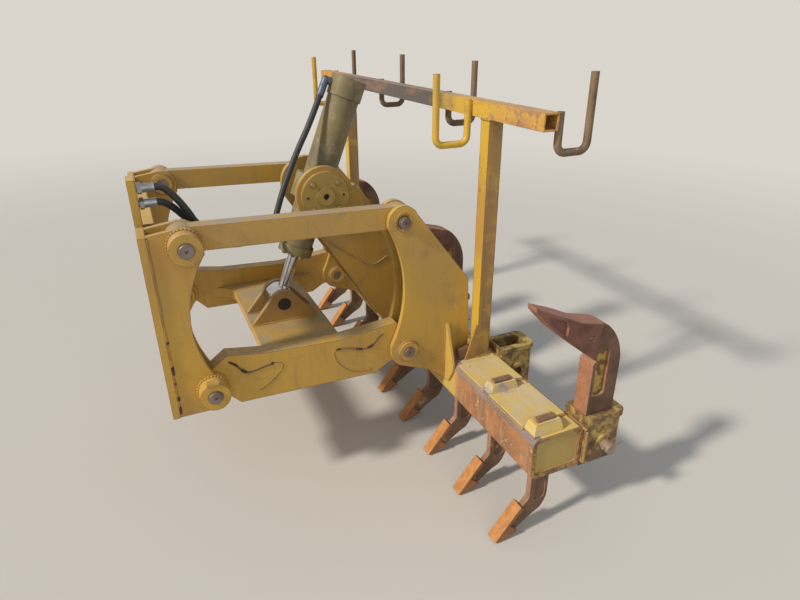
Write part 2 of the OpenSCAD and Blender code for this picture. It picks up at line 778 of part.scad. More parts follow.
module scarifier_outline() {
    translate([scar_x, bend_z]) square([scar_w, beam_z + scar_head - bend_z]);
    intersection() {
        translate(scar_centre) difference() {
            circle(scar_bend_r + scar_w);
            circle(scar_bend_r);
        }
        translate(scar_centre) polygon([[0, 0], [400, 0], [400, -400 * tan(scar_bend)]]);
    }
    polygon([on_shank(-1, -1), on_shank(-1, 1 - scar_w), on_shank(0, -scar_w), on_shank(36, 12 - scar_w),
             on_shank(112, -48), on_shank(112, 0), on_shank(0, 0)]);
}

module scarifier_shanks() {
    mid = scar_x + scar_w / 2 + 4;
    color("sienna") for (k = [0 : shank_n - 1]) translate([0, shank_y(k), 0]) difference() {
        slab(-scar_t / 2, scar_t) scarifier_outline();
        both_sides() slab(scar_t / 2 - scar_groove, scar_groove + 1)
            rounded([mid - scar_groove_w / 2, bend_z - 24], [mid + scar_groove_w / 2, beam_z - beam_h - 6], 14);
    }
}

module scarifier_teeth() {
    color("chocolate") for (k = [0 : shank_n - 1])
        slab(shank_y(k) - tooth_w / 2, tooth_w)
            polygon([on_shank(30, 0), on_shank(30, 20), on_shank(tooth_l, 3), on_shank(tooth_l - 7, -9),
                     on_shank(118, -48), on_shank(112, -48), on_shank(112, 0)]);
}

module square_tube(size, length) {
    difference() {
        cube([size, size, length]);
        translate([rack_wall, rack_wall, -1]) cube([size - 2 * rack_wall, size - 2 * rack_wall, length + 2]);
    }
}

module rack_posts() {
    color("gold") for (y = POSTS) {
        translate([post_x, y - rack_d / 2, beam_z]) square_tube(rack_d, rack_h);
        translate([post_x, y - rack_d / 2 + 8, beam_z]) rotate([90, 0, 0]) linear_extrude(8)
            polygon([[0, 0], [-foot_w, 0], [-8, foot_h], [0, foot_h]]);
    }
}

module rack_tube() {
    color("goldenrod") translate([post_x, rack_shift + rack_l / 2, rack_z])
        rotate([90, 0, 0]) square_tube(rack_d, rack_l);
}

// A rod bent like a J, from a welded leg at x0 down and across to a free leg at x1
module hook(x0, x1, top0, low, top1) {
    r = hook_d / 2;
    bend = hook_bend + r;
    dir = x1 > x0 ? 1 : -1;
    translate([x0, 0, low + bend]) cylinder(h = top0 - low - bend, r = r);
    translate([x1, 0, low + bend]) cylinder(h = top1 - low - bend, r = r);
    translate([min(x0, x1) + bend, 0, low]) rotate([0, 90, 0]) cylinder(h = abs(x1 - x0) - 2 * bend, r = r);
    translate([min(x0, x1) + bend, 0, low + bend]) rotate([90, 0, 0])
        rotate([0, 0, 180]) rotate_extrude(angle = 90) translate([bend, 0]) circle(r);
    translate([max(x0, x1) - bend, 0, low + bend]) rotate([90, 0, 0])
        rotate([0, 0, 270]) rotate_extrude(angle = 90) translate([bend, 0]) circle(r);
}

module rear_hooks() {
    x0 = post_x + rack_d + hook_d / 2;
    color("dimgray") for (y = REAR_HOOKS)
        translate([0, y, 0])
            hook(x0, x0 + rear_reach, rack_z + rack_d, rack_z - rear_low, rack_z + rear_leg);
}

module front_hooks() {
    x0 = post_x - hook_d / 2;
    color("gold") for (y = FRONT_HOOKS)
        translate([0, y, 0])
            hook(x0, x0 - front_reach, rack_z + rack_d, rack_z - front_low, rack_z + front_leg);
}

// Places the children, drawn along Z from the trunnion, on the cylinder's axis
module on_axis() {
    translate([trunnion[0], 0, trunnion[1]]) rotate([0, axis_angle, 0]) children();
}

module cylinder_barrel() {
    r = barrel_d / 2;
    color("darkkhaki") on_axis() {
        difference() {
            translate([0, 0, -barrel_down]) cylinder(h = barrel_down + barrel_up, r = r);
            translate([0, 0, -barrel_down - 1])
                cylinder(h = barrel_down + barrel_up - 19, r = r - barrel_wall);
        }
        difference() {
            translate([0, 0, barrel_up - head_collar]) cylinder(h = head_collar + 18, r = r + head_out);
            translate([0, 0, barrel_up - head_collar - 1]) cylinder(h = head_collar + 1 - eps, r = r - eps);
        }
    }
}

module cylinder_gland() {
    color("darkgoldenrod") on_axis() difference() {
        translate([0, 0, -barrel_down - gland_l]) cylinder(h = gland_l, r = barrel_d / 2 + 8);
        translate([0, 0, -barrel_down - gland_l - 1]) cylinder(h = gland_l + 2, r = rod_d / 2 + fit);
    }
}

module trunnion_ring() {
    r = barrel_d / 2;
    color("darkgoldenrod") difference() {
        union() {
            on_axis() translate([0, 0, -50]) cylinder(h = 100, r = r + 26);
            both_sides() cross_bar(trunnion, trunnion_d / 2, 60, bracket_y + bracket_t - 62);
        }
        on_axis() translate([0, 0, -60]) cylinder(h = 120, r = r + eps);
    }
}

// The upper port is at the barrel's head, the lower one just over the gland
module hose_ports() {
    r = barrel_d / 2;
    a = HOSE_A_REAR[len(HOSE_A_REAR) - 1];
    b = HOSE_B_REAR[len(HOSE_B_REAR) - 1];
    elbow_a = a + 72 * tangent(HOSE_A_REAR, len(HOSE_A_REAR) - 1);
    elbow_b = b + 50 * tangent(HOSE_B_REAR, len(HOSE_B_REAR) - 1);
    color("silver") {
        difference() {
            union() {
                bar(elbow_a, elbow_a + 70 * [cos(axis_angle), 0, -sin(axis_angle)], 15);
                bar(elbow_b, elbow_b + 70 * [cos(axis_angle), 0, -sin(axis_angle)], 15);
            }
            on_axis() translate([0, 0, -barrel_down]) cylinder(h = barrel_down + barrel_up, r = r + eps);
            on_axis() translate([0, 0, barrel_up - head_collar]) cylinder(h = head_collar, r = r + head_out + eps);
        }
        for (p = [elbow_a, elbow_b]) translate(p) sphere(r = 16);
        bar(a, elbow_a, crimp_d / 2);
        bar(b, elbow_b, crimp_d / 2);
    }
}

module cylinder_rod() {
    color("silver") difference() {
        union() {
            on_axis() {
                translate([0, 0, -axis_length + eye_d / 2 - 8])
                    cylinder(h = axis_length - eye_d / 2 + 128, r = rod_d / 2);
                translate([0, 0, 100]) cylinder(h = 40, r = barrel_d / 2 - barrel_wall - 0.3);
            }
            cross_bar(rod_pin, eye_d / 2, -eye_w / 2, eye_w);
        }
        cross_bar(rod_pin, rod_pin_d / 2 + fit, -eye_w, 2 * eye_w);
    }
}

hitch_flanges();
hitch_plates();
hitch_pins();
hose_bracket();
hose_fittings();
hose_a_front();
hose_b_front();
upper_link_left();
upper_link_right();
lower_link();
rod_clevis();
clevis_pin_ends();
carriage_plates();
carriage_pins();
trunnion_bracket();
trunnion_caps();
beam_gussets();
tool_beam();
beam_end_caps();
ripper_pockets();
ripper_shanks();
ripper_tips();
pocket_pins();
scarifier_shanks();
scarifier_teeth();
rack_posts();
rack_tube();
rear_hooks();
front_hooks();
cylinder_barrel();
cylinder_gland();
trunnion_ring();
hose_ports();
hose_a_rear();
hose_b_rear();
cylinder_rod();
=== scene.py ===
# A rear-mounted ripper-scarifier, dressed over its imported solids: worn paint, rust, weld seams,
# bolts, washers, pin ends and hydraulic hoses. Metres; X points away from the machine, Y to its
# right and Z up, from the middle of the hitch's mounting face.
import math

import bpy
from mathutils import Matrix, Vector


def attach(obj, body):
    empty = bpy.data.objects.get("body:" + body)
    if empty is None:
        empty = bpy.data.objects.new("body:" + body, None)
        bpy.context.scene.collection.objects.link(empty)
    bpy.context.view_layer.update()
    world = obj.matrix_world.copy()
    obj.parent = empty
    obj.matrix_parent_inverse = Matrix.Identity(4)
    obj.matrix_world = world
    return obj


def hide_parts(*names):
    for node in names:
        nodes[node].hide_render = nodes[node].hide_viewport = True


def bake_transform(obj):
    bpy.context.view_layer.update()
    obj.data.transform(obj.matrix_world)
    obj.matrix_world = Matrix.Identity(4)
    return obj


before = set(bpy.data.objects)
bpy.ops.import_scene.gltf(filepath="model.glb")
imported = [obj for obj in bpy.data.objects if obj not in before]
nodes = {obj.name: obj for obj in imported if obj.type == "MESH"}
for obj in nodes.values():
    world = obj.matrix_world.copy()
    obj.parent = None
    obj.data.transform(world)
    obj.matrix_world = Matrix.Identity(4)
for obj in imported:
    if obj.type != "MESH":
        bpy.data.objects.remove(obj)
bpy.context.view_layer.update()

# The camera stands at the machine's left, a little over two metres off, and looks back and down
# at the attachment, as the photograph was taken.
lens_pixels = 586.2
frame_pixels = 800
sensor_mm = 36
camera_place = (0.0345, -2.3668, 0.9093)
camera_turn = math.radians(-24.2)
camera_dip = math.radians(90 - 24.97)
camera_roll = math.radians(-0.39)
camera_data = bpy.data.cameras.new("camera")
camera_data.sensor_width = sensor_mm
camera_data.lens = lens_pixels / frame_pixels * sensor_mm
camera_data.clip_start = 0.05
camera = bpy.data.objects.new("camera", camera_data)
bpy.context.scene.collection.objects.link(camera)
camera.matrix_world = (
    Matrix.Translation(camera_place)
    @ Matrix.Rotation(camera_turn, 4, "Z")
    @ Matrix.Rotation(camera_dip, 4, "X")
    @ Matrix.Rotation(camera_roll, 4, "Z")
)
bpy.context.scene.camera = camera


# Two rubber hoses, wire-wound and a thumb thick, feed the cylinder. They leave the hitch together,
# sag behind the left upper link and end in crimped fittings at the cylinder's upper and lower
# ports. Their routes are in millimetres, and each is cut in three stretches between the bodies, at
# the steps along it that hose_cuts gives.
hose_diameter = 0.024
hose_bevel_resolution = 2
hose_steps = 5
hose_a = [
    (80, -340, 448), (86, -340, 448), (103, -340, 444), (122, -341, 427), (145, -342, 397),
    (168, -343, 358), (192, -343, 312), (236, -338, 262), (272, -312, 224), (322, -266, 196),
    (380, -213, 183), (440, -168, 180), (484, -136, 200), (510, -120, 240), (534, -110, 295),
    (560, -100, 350), (588, -90, 403), (612, -81, 446), (641, -69, 492), (680, -55, 552),
    (716, -39, 612), (746, -23, 664),
]
hose_b = [
    (80, -340, 398), (86, -340, 398), (102, -338, 393), (122, -332, 377), (144, -322, 351),
    (166, -311, 321), (192, -300, 287), (240, -280, 228), (276, -252, 196), (322, -202, 170),
    (374, -144, 151), (422, -86, 143), (464, -44, 144), (504, -20, 150),
]
hose_cuts = (("a", hose_a, 30, 70), ("b", hose_b, 30, 52))


class Socket:
    """One socket of a shader, so that arithmetic on values reads as arithmetic."""

    def __init__(self, tree, source):
        self.tree = tree
        self.source = source

    def node(self, kind, settings=None, out=0, **values):
        made = self.tree.nodes.new("ShaderNode" + kind)
        for name, value in (settings or {}).items():
            if name == "stops":
                elements = made.color_ramp.elements
                elements.remove(elements[1])
                elements[0].position, elements[0].color = value[0]
                for place, colour in value[1:]:
                    elements.new(place).color = colour
            else:
                setattr(made, name, value)
        for name, value in values.items():
            key = int(name[3:]) if name.startswith("in_") else name.replace("_", " ")
            if isinstance(value, Socket):
                self.tree.links.new(value.source, made.inputs[key])
            else:
                made.inputs[key].default_value = value
        return Socket(self.tree, made.outputs[out])

    def math(self, operation, *values):
        inputs = {f"in_{i}": value for i, value in enumerate(values)}
        return self.node("Math", {"operation": operation}, **inputs)

    def __add__(self, other):
        return self.math("ADD", self, other)

    def __radd__(self, other):
        return self.math("ADD", other, self)

    def __sub__(self, other):
        return self.math("SUBTRACT", self, other)

    def __rsub__(self, other):
        return self.math("SUBTRACT", other, self)

    def __mul__(self, other):
        return self.math("MULTIPLY", self, other)

    def __rmul__(self, other):
        return self.math("MULTIPLY", other, self)

    def clamp(self, low, high):
        """0 below low, 1 above high, smooth between them."""
        smooth = {"interpolation_type": "SMOOTHSTEP"}
        return self.node("MapRange", smooth, From_Min=low, From_Max=high, Value=self)

    def own(self):
        """The piece's own coordinates."""
        return self.node("TexCoord", out=3)

    def squeezed(self, scale=(1, 1, 1)):
        """The piece's own coordinates, squeezed along an axis."""
        return self.node("Mapping", Vector=self.own(), Scale=scale)

    def noise(self, scale, detail=4.0, rough=0.55, point=None):
        point = point or self.own()
        return self.node("TexNoise", Vector=point, Scale=scale, Detail=detail, Roughness=rough)

    def normal(self):
        return self.node("NewGeometry", out=1)

    def rounded(self, radius):
        """The normal, as if the edges were rounded."""
        return self.node("Bevel", {"samples": 4}, Radius=radius)

    def away_from(self, other):
        """0 where two normals agree, and more toward an edge."""
        return 1 - self.node(
            "VectorMath", {"operation": "DOT_PRODUCT"}, out=1, in_0=self, in_1=other
        )

    def bump(self, height, strength, distance, normal):
        """The normal, tilted as if the surface had this height."""
        return self.node(
            "Bump", Strength=strength, Distance=distance, Height=height, Normal=normal
        )

    def along(self, axis):
        """This vector's X, Y or Z."""
        return self.node("SeparateXYZ", out="XYZ".index(axis), Vector=self)

    def mix(self, first, second):
        """first where this mask is 0, second where it is 1."""
        return self.node("Mix", {"data_type": "RGBA"}, out=2, in_0=self, in_6=first, in_7=second)


def new_material(name):
    """An empty material, and a socket to start its expressions from."""
    material = bpy.data.materials.new(name)
    material.use_nodes = True
    material.node_tree.nodes.clear()
    return material, Socket(material.node_tree, None)


def darker(colour, share):
    return tuple(share * c for c in colour[:3]) + (1,)


def finish_material(material, start, **values):
    """Ends a material in one shader whose sockets take the given values."""
    shader = start.node("BsdfPrincipled", **values)
    output = material.node_tree.nodes.new("ShaderNodeOutputMaterial")
    material.node_tree.links.new(shader.source, output.inputs["Surface"])
    return material


def rubber(name):
    """Black rubber with the fabric's fine weave in it, dusty where it faces up."""
    material, s = new_material(name)
    weave = s.node("TexVoronoi", Vector=s.squeezed(), Scale=420.0)
    dust = s.noise(35.0, 4.0)
    up = s.normal().along("Z")
    dusty = up.clamp(0.1, 0.9) * dust.clamp(0.4, 0.7) * 0.35
    return finish_material(
        material,
        s,
        Base_Color=dusty.mix((0.018, 0.020, 0.024, 1), (0.16, 0.13, 0.10, 1)),
        Roughness=0.38 + 0.3 * dust,
        Normal=s.node("Bump", Strength=0.2, Distance=0.0005, Height=weave),
    )


def smooth_route(points, steps):
    """The route as a smooth curve through its points, in metres."""
    p = [Vector(q) / 1000 for q in points]
    p = [2 * p[0] - p[1]] + p + [2 * p[-1] - p[-2]]
    route = []
    for i in range(1, len(p) - 2):
        for k in range(steps):
            t = k / steps
            a, b, c, d = p[i - 1 : i + 3]
            route.append(
                0.5 * (2 * b + (c - a) * t + (2 * a - 5 * b + 4 * c - d) * t**2
                       + (3 * b - a - 3 * c + d) * t**3)
            )
    return route + [p[-2]]


def select_only(*objects):
    bpy.ops.object.select_all(action="DESELECT")
    for one in objects:
        one.select_set(True)
    bpy.context.view_layer.objects.active = objects[0]


def hose_piece(name, route, material, node=None):
    """One stretch of hose, a round tube along its route from the first body to the second."""
    curve = bpy.data.curves.new(name, "CURVE")
    curve.dimensions = "3D"
    spline = curve.splines.new("POLY")
    spline.points.add(len(route) - 1)
    for point, place in zip(spline.points, route):
        point.co = (*place, 1)
    curve.bevel_depth = hose_diameter / 2
    curve.bevel_resolution = hose_bevel_resolution
    curve.use_fill_caps = True
    made = bpy.data.objects.new(name, curve)
    bpy.context.scene.collection.objects.link(made)
    select_only(made)
    bpy.ops.object.convert(target="MESH")
    made = bpy.context.object
    bpy.ops.object.shade_smooth()
    made.data.materials.clear()
    made.data.materials.append(material)
    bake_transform(made)
    sum((b - a).length for a, b in zip(route, route[1:]))
    if node:
        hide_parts(node)


hose_rubber = rubber("hose_rubber")
for letter, points, low, high in hose_cuts:
    route = smooth_route(points, hose_steps)
    for part, span, bodies, node in (
        ("at_hitch", route[: low + 1], ("hitch", "upper_link_left"), f"hose_{letter}_front"),
        ("belly", route[low : high + 1], ("upper_link_left", "carriage"), f"hose_{letter}_rear"),
        ("at_cylinder", route[high:], ("carriage", "barrel"), None),
    ):
        hose_piece(f"hose_{letter}_{part}", span, hose_rubber, node)


# Zinc-plated steel ends close the hoses: hexagonal bulkhead nuts on the hitch's bracket and
# swaged crimps, dull and dusty.
def metal(name, light, dark, metallic, rough, scale=60.0, scratch=0.3):
    """Bare metal, blotched between two tones, with fine scratches."""
    material, s = new_material(name)
    blotch = s.noise(scale * 0.3, 5.0, 0.6)
    grain = s.noise(scale * 3, 3.0, 0.6)
    lines = s.noise(scale * 2, 2.0, 0.5, s.squeezed((1, 6, 1)))
    return finish_material(
        material,
        s,
        Base_Color=(blotch.clamp(0.35, 0.7) * 0.8 + grain.clamp(0.5, 0.8) * 0.2).mix(light, dark),
        Metallic=metallic,
        Roughness=rough + 0.35 * blotch.clamp(0.4, 0.8) + 0.1 * grain,
        Normal=s.node("Bump", Strength=scratch, Distance=0.0006, Height=lines * 0.5 + grain * 0.5),
    )


def dress(name, material):
    """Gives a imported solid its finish."""
    mesh = nodes[name].data
    mesh.materials.clear()
    mesh.materials.append(material)


plated_steel = metal(
    "plated_steel", (0.36, 0.37, 0.39, 1), (0.13, 0.12, 0.11, 1), metallic=0.8, rough=0.3
)
blued_steel = metal(
    "blued_steel", (0.16, 0.20, 0.26, 1), (0.07, 0.07, 0.07, 1), metallic=0.7, rough=0.32
)
dress("hose_fittings", plated_steel)
dress("hose_ports", blued_steel)


# The hitch is two thick flanges joined by two box cross members, cut from plate and bolted to the
# machine's frame by eight large bolts. Its golden paint is chipped to rust along the edges.
pale_dust = (0.60, 0.49, 0.33, 1)


def worn_paint(
    name, coat, faded, rust=0.1, chips=0.5, dirt=0.4, dust=0.4, side_shade=0, top_dust_and_shade_tone=pale_dust
):
    """Old machine paint: faded in clouds, dirty in runs, dusty on top, chipped on its edges.
    Its edges are lighter as a painted highlight, a grey top tone stands for dust and painted shade,
    and brown on faces toward ±Y, where asked, is painted shade.
    """
    material, s = new_material(name)
    broad = s.noise(2.4, 3.0, 0.5)
    patch = s.noise(9.0, 6.0, 0.62)
    fine = s.noise(52.0, 6.0, 0.66)
    grit = s.noise(210.0, 2.0, 0.5)
    runs = s.noise(30.0, 4.0, 0.6, s.squeezed((1, 1, 0.10)))
    rounded = s.rounded(0.006)
    normal = s.normal()
    edge = rounded.away_from(normal)
    up = normal.along("Z")
    colour = broad.clamp(0.36, 0.66).mix(coat, faded)
    run_dirt, patch_dirt = (0.20, 0.13, 0.055, 1), (0.22, 0.15, 0.08, 1)
    specks = (0.14, 0.09, 0.04, 1)
    colour = (runs.clamp(0.50, 0.74) * (0.55 * dirt)).mix(colour, run_dirt)
    colour = (patch.clamp(0.54, 0.74) * dirt).mix(colour, patch_dirt)
    colour = (grit.clamp(0.58, 0.72) * 0.25).mix(colour, specks)
    dusty = up.clamp(0.3, 0.9) * (patch * 0.6 + fine * 0.5).clamp(0.42, 0.68) * dust
    colour = dusty.mix(colour, top_dust_and_shade_tone)
    # Brown on faces toward ±Y is painted shade, in rust-brown tones.
    if side_shade:
        aside = s.math("ABSOLUTE", normal.along("Y"))
        side_shade_tone = runs.clamp(0.38, 0.62).mix((0.30, 0.165, 0.065, 1), (0.20, 0.115, 0.06, 1))
        stain_and_shade_mask = aside.clamp(0.5, 0.9) * (1 - patch.clamp(0.50, 0.60) * 0.5) * side_shade
        colour = stain_and_shade_mask.mix(colour, side_shade_tone)
    # Lighter paint along the edges, named rubbed here, is a painted highlight.
    edge_highlight_mask = (edge * 9 + fine * 0.8).clamp(0.62, 1.2)
    rubbed = tuple(min(1, 1.35 * c + 0.05) for c in coat[:3]) + (1,)
    colour = (edge_highlight_mask * 0.45).mix(colour, rubbed)
    rusted = (patch * 0.7 + fine * 0.4).clamp(0.80 - 0.25 * rust, 0.84 - 0.25 * rust)
    tone = grit.clamp(0.35, 0.65).mix((0.30, 0.12, 0.04, 1), (0.10, 0.05, 0.028, 1))
    colour = rusted.mix(colour, tone)
    chipped = (edge * 5 + fine * 1.4 + patch * 0.5).clamp(1.9 - 0.8 * chips, 2.0 - 0.8 * chips)
    bare = broad.clamp(0.4, 0.6).mix((0.085, 0.05, 0.03, 1), (0.20, 0.10, 0.05, 1))
    colour = (chipped * 0.9).mix(colour, bare)
    height = fine * 0.35 + grit * 0.1 - chipped * 0.5 - rusted * 0.25
    return finish_material(
        material,
        s,
        Base_Color=colour,
        Roughness=0.42 + 0.3 * rusted + 0.25 * dusty + 0.12 * fine,
        Normal=s.bump(height, 0.35, 0.0016, rounded),
    )


def facing(place, direction, spin=0.0):
    """The matrix that stands a part, modelled along Z from the origin, on a surface."""
    turn = Vector(direction).to_track_quat("Z", "Y").to_matrix().to_4x4()
    return Matrix.Translation(Vector(place)) @ turn @ Matrix.Rotation(spin, 4, "Z")


def copies(master, places, name):
    """Copies of one part, each with its own mesh, joined in one piece."""
    made = []
    for place in places:
        mesh = master.data.copy()
        mesh.transform(place)
        made.append(bpy.data.objects.new(name, mesh))
        bpy.context.scene.collection.objects.link(made[-1])
    bpy.data.objects.remove(master)
    select_only(*made)
    bpy.ops.object.join()
    joined = bpy.context.object
    joined.name = name
    return joined


def fit(piece, material, body):
    """Paints a new piece and fixes it to its body."""
    piece.data.materials.clear()
    piece.data.materials.append(material)
    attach(piece, body)


def apply_bevel(piece, width, segments=2):
    select_only(piece)
    bevel = piece.modifiers.new("bevel", "BEVEL")
    bevel.width = width
    bevel.segments = segments
    bevel.limit_method = "ANGLE"
    bpy.ops.object.modifier_apply(modifier="bevel")


def top_face(piece):
    """Selects the face that is highest along Z, in edit mode."""
    bpy.ops.object.mode_set(mode="OBJECT")
    mesh = piece.data
    for group in (mesh.vertices, mesh.edges, mesh.polygons):
        group.foreach_set("select", [False] * len(group))
    max(mesh.polygons, key=lambda face: (round(face.normal.z, 3), face.center.z)).select = True
    bpy.ops.object.mode_set(mode="EDIT")
    bpy.ops.mesh.select_mode(type="FACE")


def cylinder(corners, radius, height, base=0):
    """A cylinder along Z that stands at this height over the origin."""
    bpy.ops.object.select_all(action="DESELECT")
    bpy.ops.mesh.primitive_cylinder_add(
        vertices=corners, radius=radius, depth=height, location=(0, 0, base + height / 2)
    )
    return bpy.context.object


def hex_bolt(across, height, washer=1.3, washer_thick=0.004):
    """A hexagon head with a chamfered crown on its round washer, standing on the origin."""
    corner_radius = across / 1.732
    head = cylinder(6, corner_radius, height, washer_thick)
    top_face(head)
    bpy.ops.mesh.inset(thickness=across * 0.10)
    bpy.ops.transform.translate(value=(0, 0, height * 0.12))
    bpy.ops.object.mode_set(mode="OBJECT")
    bpy.ops.object.transform_apply()
    ring = cylinder(24, across / 2 * washer, washer_thick)
    bpy.ops.object.transform_apply()
    select_only(head, ring)
    bpy.ops.object.join()
    apply_bevel(head, across * 0.02, 1)
    return head


def bead(length, radius):
    """One ripple of a weld, along X."""
    bpy.ops.object.select_all(action="DESELECT")
    bpy.ops.mesh.primitive_uv_sphere_add(segments=8, ring_count=5, radius=radius)
    ripple = bpy.context.object
    bpy.ops.object.mode_set(mode="EDIT")
    bpy.ops.mesh.select_all(action="SELECT")
    bpy.ops.transform.resize(value=(length / 2 / radius, 1, 1))
    bpy.ops.object.mode_set(mode="OBJECT")
    bpy.ops.object.shade_smooth()
    return ripple


def seam(points, pitch=0.008, closed=False):
    """Places for the ripples of a weld along a line of points given in millimetres."""
    line = [Vector(point) / 1000 for point in points]
    if closed:
        line.append(line[0])
    places = []
    for start, end in zip(line, line[1:]):
        count = max(1, round((end - start).length / pitch))
        turn = (end - start).to_track_quat("X", "Z").to_matrix().to_4x4()
        for i in range(count):
            size = 0.88 + 0.24 * (math.sin(len(places) * 12.9898 + 4.1) * 0.5 + 0.5)
            spot = start.lerp(end, (i + 0.5) / count)
            places.append(Matrix.Translation(spot) @ turn @ Matrix.Scale(size, 4))
    return places


def ring_seam(x, y, z, radius):
    """A weld round a boss whose axis is along Y."""
    turns = [math.radians(angle) for angle in range(0, 360, 12)]
    circle = [(x + radius * math.cos(a), y, z + radius * math.sin(a)) for a in turns]
    return seam(circle, closed=True)


def curved_seam(line, y):
    """A fine weld at one Y along a smooth curve through points of X and Z."""
    curve = smooth_route([(x, y, z) for x, z in line], 4)
    return seam([1000 * q for q in curve], 0.006)


def both_sides(points, y):
    """Places for parts that face outward on both sides, at points of X and Z in millimetres."""
    return [
        facing((x / 1000, side * y / 1000, z / 1000), (0, side, 0))
        for side in sides
        for x, z in points
    ]


sides = (-1, 1)
yellow = worn_paint(
    "yellow_paint", (0.58, 0.335, 0.045, 1), (0.50, 0.285, 0.06, 1), rust=0.06, chips=0.55,
    dirt=0.30,
)
weld_paint = worn_paint(
    "weld_paint", (0.50, 0.29, 0.055, 1), (0.38, 0.21, 0.06, 1), rust=0.30, chips=0.5, dirt=0.6
)
for name in ("hitch_flanges", "hose_bracket"):
    dress(name, yellow)
bolt_steel = metal(
    "bolt_steel", (0.22, 0.17, 0.12, 1), (0.11, 0.07, 0.045, 1), metallic=0.4, rough=0.5
)
flange_face = 0.0248
bolt_places = [
    facing((flange_face, y, z), (1, 0, 0), 0.3 * z + y)
    for y in (-0.34, 0.34)
    for z in (-0.28, -0.14, 0.14, 0.28)
]
hitch_bolt = hex_bolt(across=0.046, height=0.019)
fit(copies(hitch_bolt, bolt_places, "hitch_bolts"), bolt_steel, "hitch")


# Two pairs of waisted side plates are welded to the flanges, with thick turned bosses on their
# outer faces, where the hitch's four pins pass. A ring of weld runs round each boss.
dress("hitch_plates", yellow)
upper_front = (132, 290)
lower_front = (148, -250)
plate_outside, plate_inside = 501, 385
plate_end = 325
flange_back, cross_member_end = 27, 300
common_bead = (0.0125, 0.0045)
hitch_seams = []
for side in sides:
    for x, z in (upper_front, lower_front):
        hitch_seams += ring_seam(x, side * plate_outside, z, 54)
        hitch_seams += ring_seam(x, side * plate_inside, z, 44)
    for y in (501.5, 384.5, 412.5, 473.5):
        hitch_seams += seam(
            [(flange_back, side * y, -plate_end), (flange_back, side * y, plate_end)]
        )
    for z in (-314, -190, 190, 314):
        hitch_seams += seam([(60, side * cross_member_end, z), (26, side * cross_member_end, z)])
fit(copies(bead(*common_bead), hitch_seams, "hitch_welds"), weld_paint, "hitch")


def flaked(places, quick, slow, level):
    """The ripples of a seam that rust has taken, in uneven runs."""
    return [p for i, p in enumerate(places) if math.sin(i * quick) + math.sin(i * slow) > level]


lower_halves = []
for side in sides:
    lower_half = seam([(28.5, side * 502.5, -plate_end), (28.5, side * 502.5, -30)])
    lower_halves += flaked(lower_half, 0.9, 0.37, 0.55)
flake_rust = metal(
    "flake_rust", (0.10, 0.05, 0.025, 1), (0.04, 0.022, 0.014, 1),
    metallic=0.0, rough=0.8, scale=90.0,
)
flakes = copies(bead(0.0125, 0.0052), lower_halves, "hitch_seam_rust")
fit(flakes, flake_rust, "hitch")


# Hardened pins join the links to the hitch. Their ends stand a little proud of the bosses, with a
# turned chamfer and a drilled centre, and a tab locks each lower one. Grease has left them brown.
def pin_end(radius, length=0.004):
    """A pin's chamfered end with a drilled centre, modelled along Z from the origin."""
    end = cylinder(32, radius, length)
    top_face(end)
    bpy.ops.mesh.inset(thickness=radius * 0.10)
    bpy.ops.transform.translate(value=(0, 0, radius * 0.10))
    bpy.ops.mesh.inset(thickness=radius * 0.66)
    bpy.ops.mesh.inset(thickness=radius * 0.10)
    bpy.ops.transform.translate(value=(0, 0, -radius * 0.24))
    bpy.ops.object.mode_set(mode="OBJECT")
    bpy.ops.object.transform_apply()
    bpy.ops.object.shade_smooth_by_angle(angle=math.radians(25))
    return end


pin_steel = metal(
    "pin_steel", (0.27, 0.22, 0.19, 1), (0.13, 0.09, 0.065, 1),
    metallic=0.45, rough=0.34, scale=40.0,
)
dress("hitch_pins", pin_steel)
end_places = both_sides((upper_front, lower_front), 557.5)
fit(copies(pin_end(0.0235), end_places, "hitch_pin_ends"), pin_steel, "hitch")

bpy.ops.object.select_all(action="DESELECT")
bpy.ops.mesh.primitive_cube_add(size=1)
tab = bpy.context.object
bpy.ops.object.mode_set(mode="EDIT")
bpy.ops.mesh.select_all(action="SELECT")
bpy.ops.transform.resize(value=(0.044, 0.013, 0.022))
bpy.ops.transform.translate(value=(0, 0, -0.004))
bpy.ops.object.mode_set(mode="OBJECT")
apply_bevel(tab, 0.002)
tab_spot = Vector(((lower_front[0] - 2) / 1000, 0.551, (lower_front[1] + 52) / 1000))
tab_places = [
    facing((tab_spot.x, side * tab_spot.y, tab_spot.z), (0, side, 0), 0.06 * side) for side in sides
]
fit(copies(tab, tab_places, "pin_lock_tabs"), weld_paint, "hitch")


# The upper links are straight flat bars with rounded ends, worn, and grey along the top edge with
# dust and painted shade.
# Grey on top: dust, and painted shade.
link_paint = worn_paint(
    "link_paint", (0.55, 0.32, 0.05, 1), (0.46, 0.27, 0.07, 1), rust=0.04, chips=0.4, dirt=0.35,
    dust=0.9, top_dust_and_shade_tone=(0.33, 0.31, 0.27, 1),
)
for name in ("upper_link_left", "upper_link_right"):
    dress(name, link_paint)


# The lower link is two deep arms joined by a thick deck. Each arm is built up from plates, with
# dark, flaking seams wandering over its face at both ends, and its paint is scratched and dirty,
# and grey on top with dust and painted shade.
# Grey on top: dust, and painted shade.
arm_paint = worn_paint(
    "arm_paint", (0.57, 0.33, 0.05, 1), (0.47, 0.28, 0.065, 1), rust=0.12, chips=0.7, dirt=0.5,
    dust=0.9, top_dust_and_shade_tone=(0.34, 0.29, 0.20, 1),
)
dress("lower_link", arm_paint)
arm_side = 473
front_seam = [
    (214, -168), (236, -186), (255, -211), (276, -228), (305, -227), (337, -219), (372, -212)
]
rear_seam = [
    (618, -216), (657, -217), (700, -231), (728, -238), (757, -234), (777, -220), (790, -204),
    (812, -190),
]
front_loop = [(372, -212), (398, -216), (407, -232), (388, -262), (347, -296), (314, -314)]
rear_loop = [
    (618, -216), (606, -236), (622, -277), (648, -306), (676, -326), (715, -337), (757, -339)
]
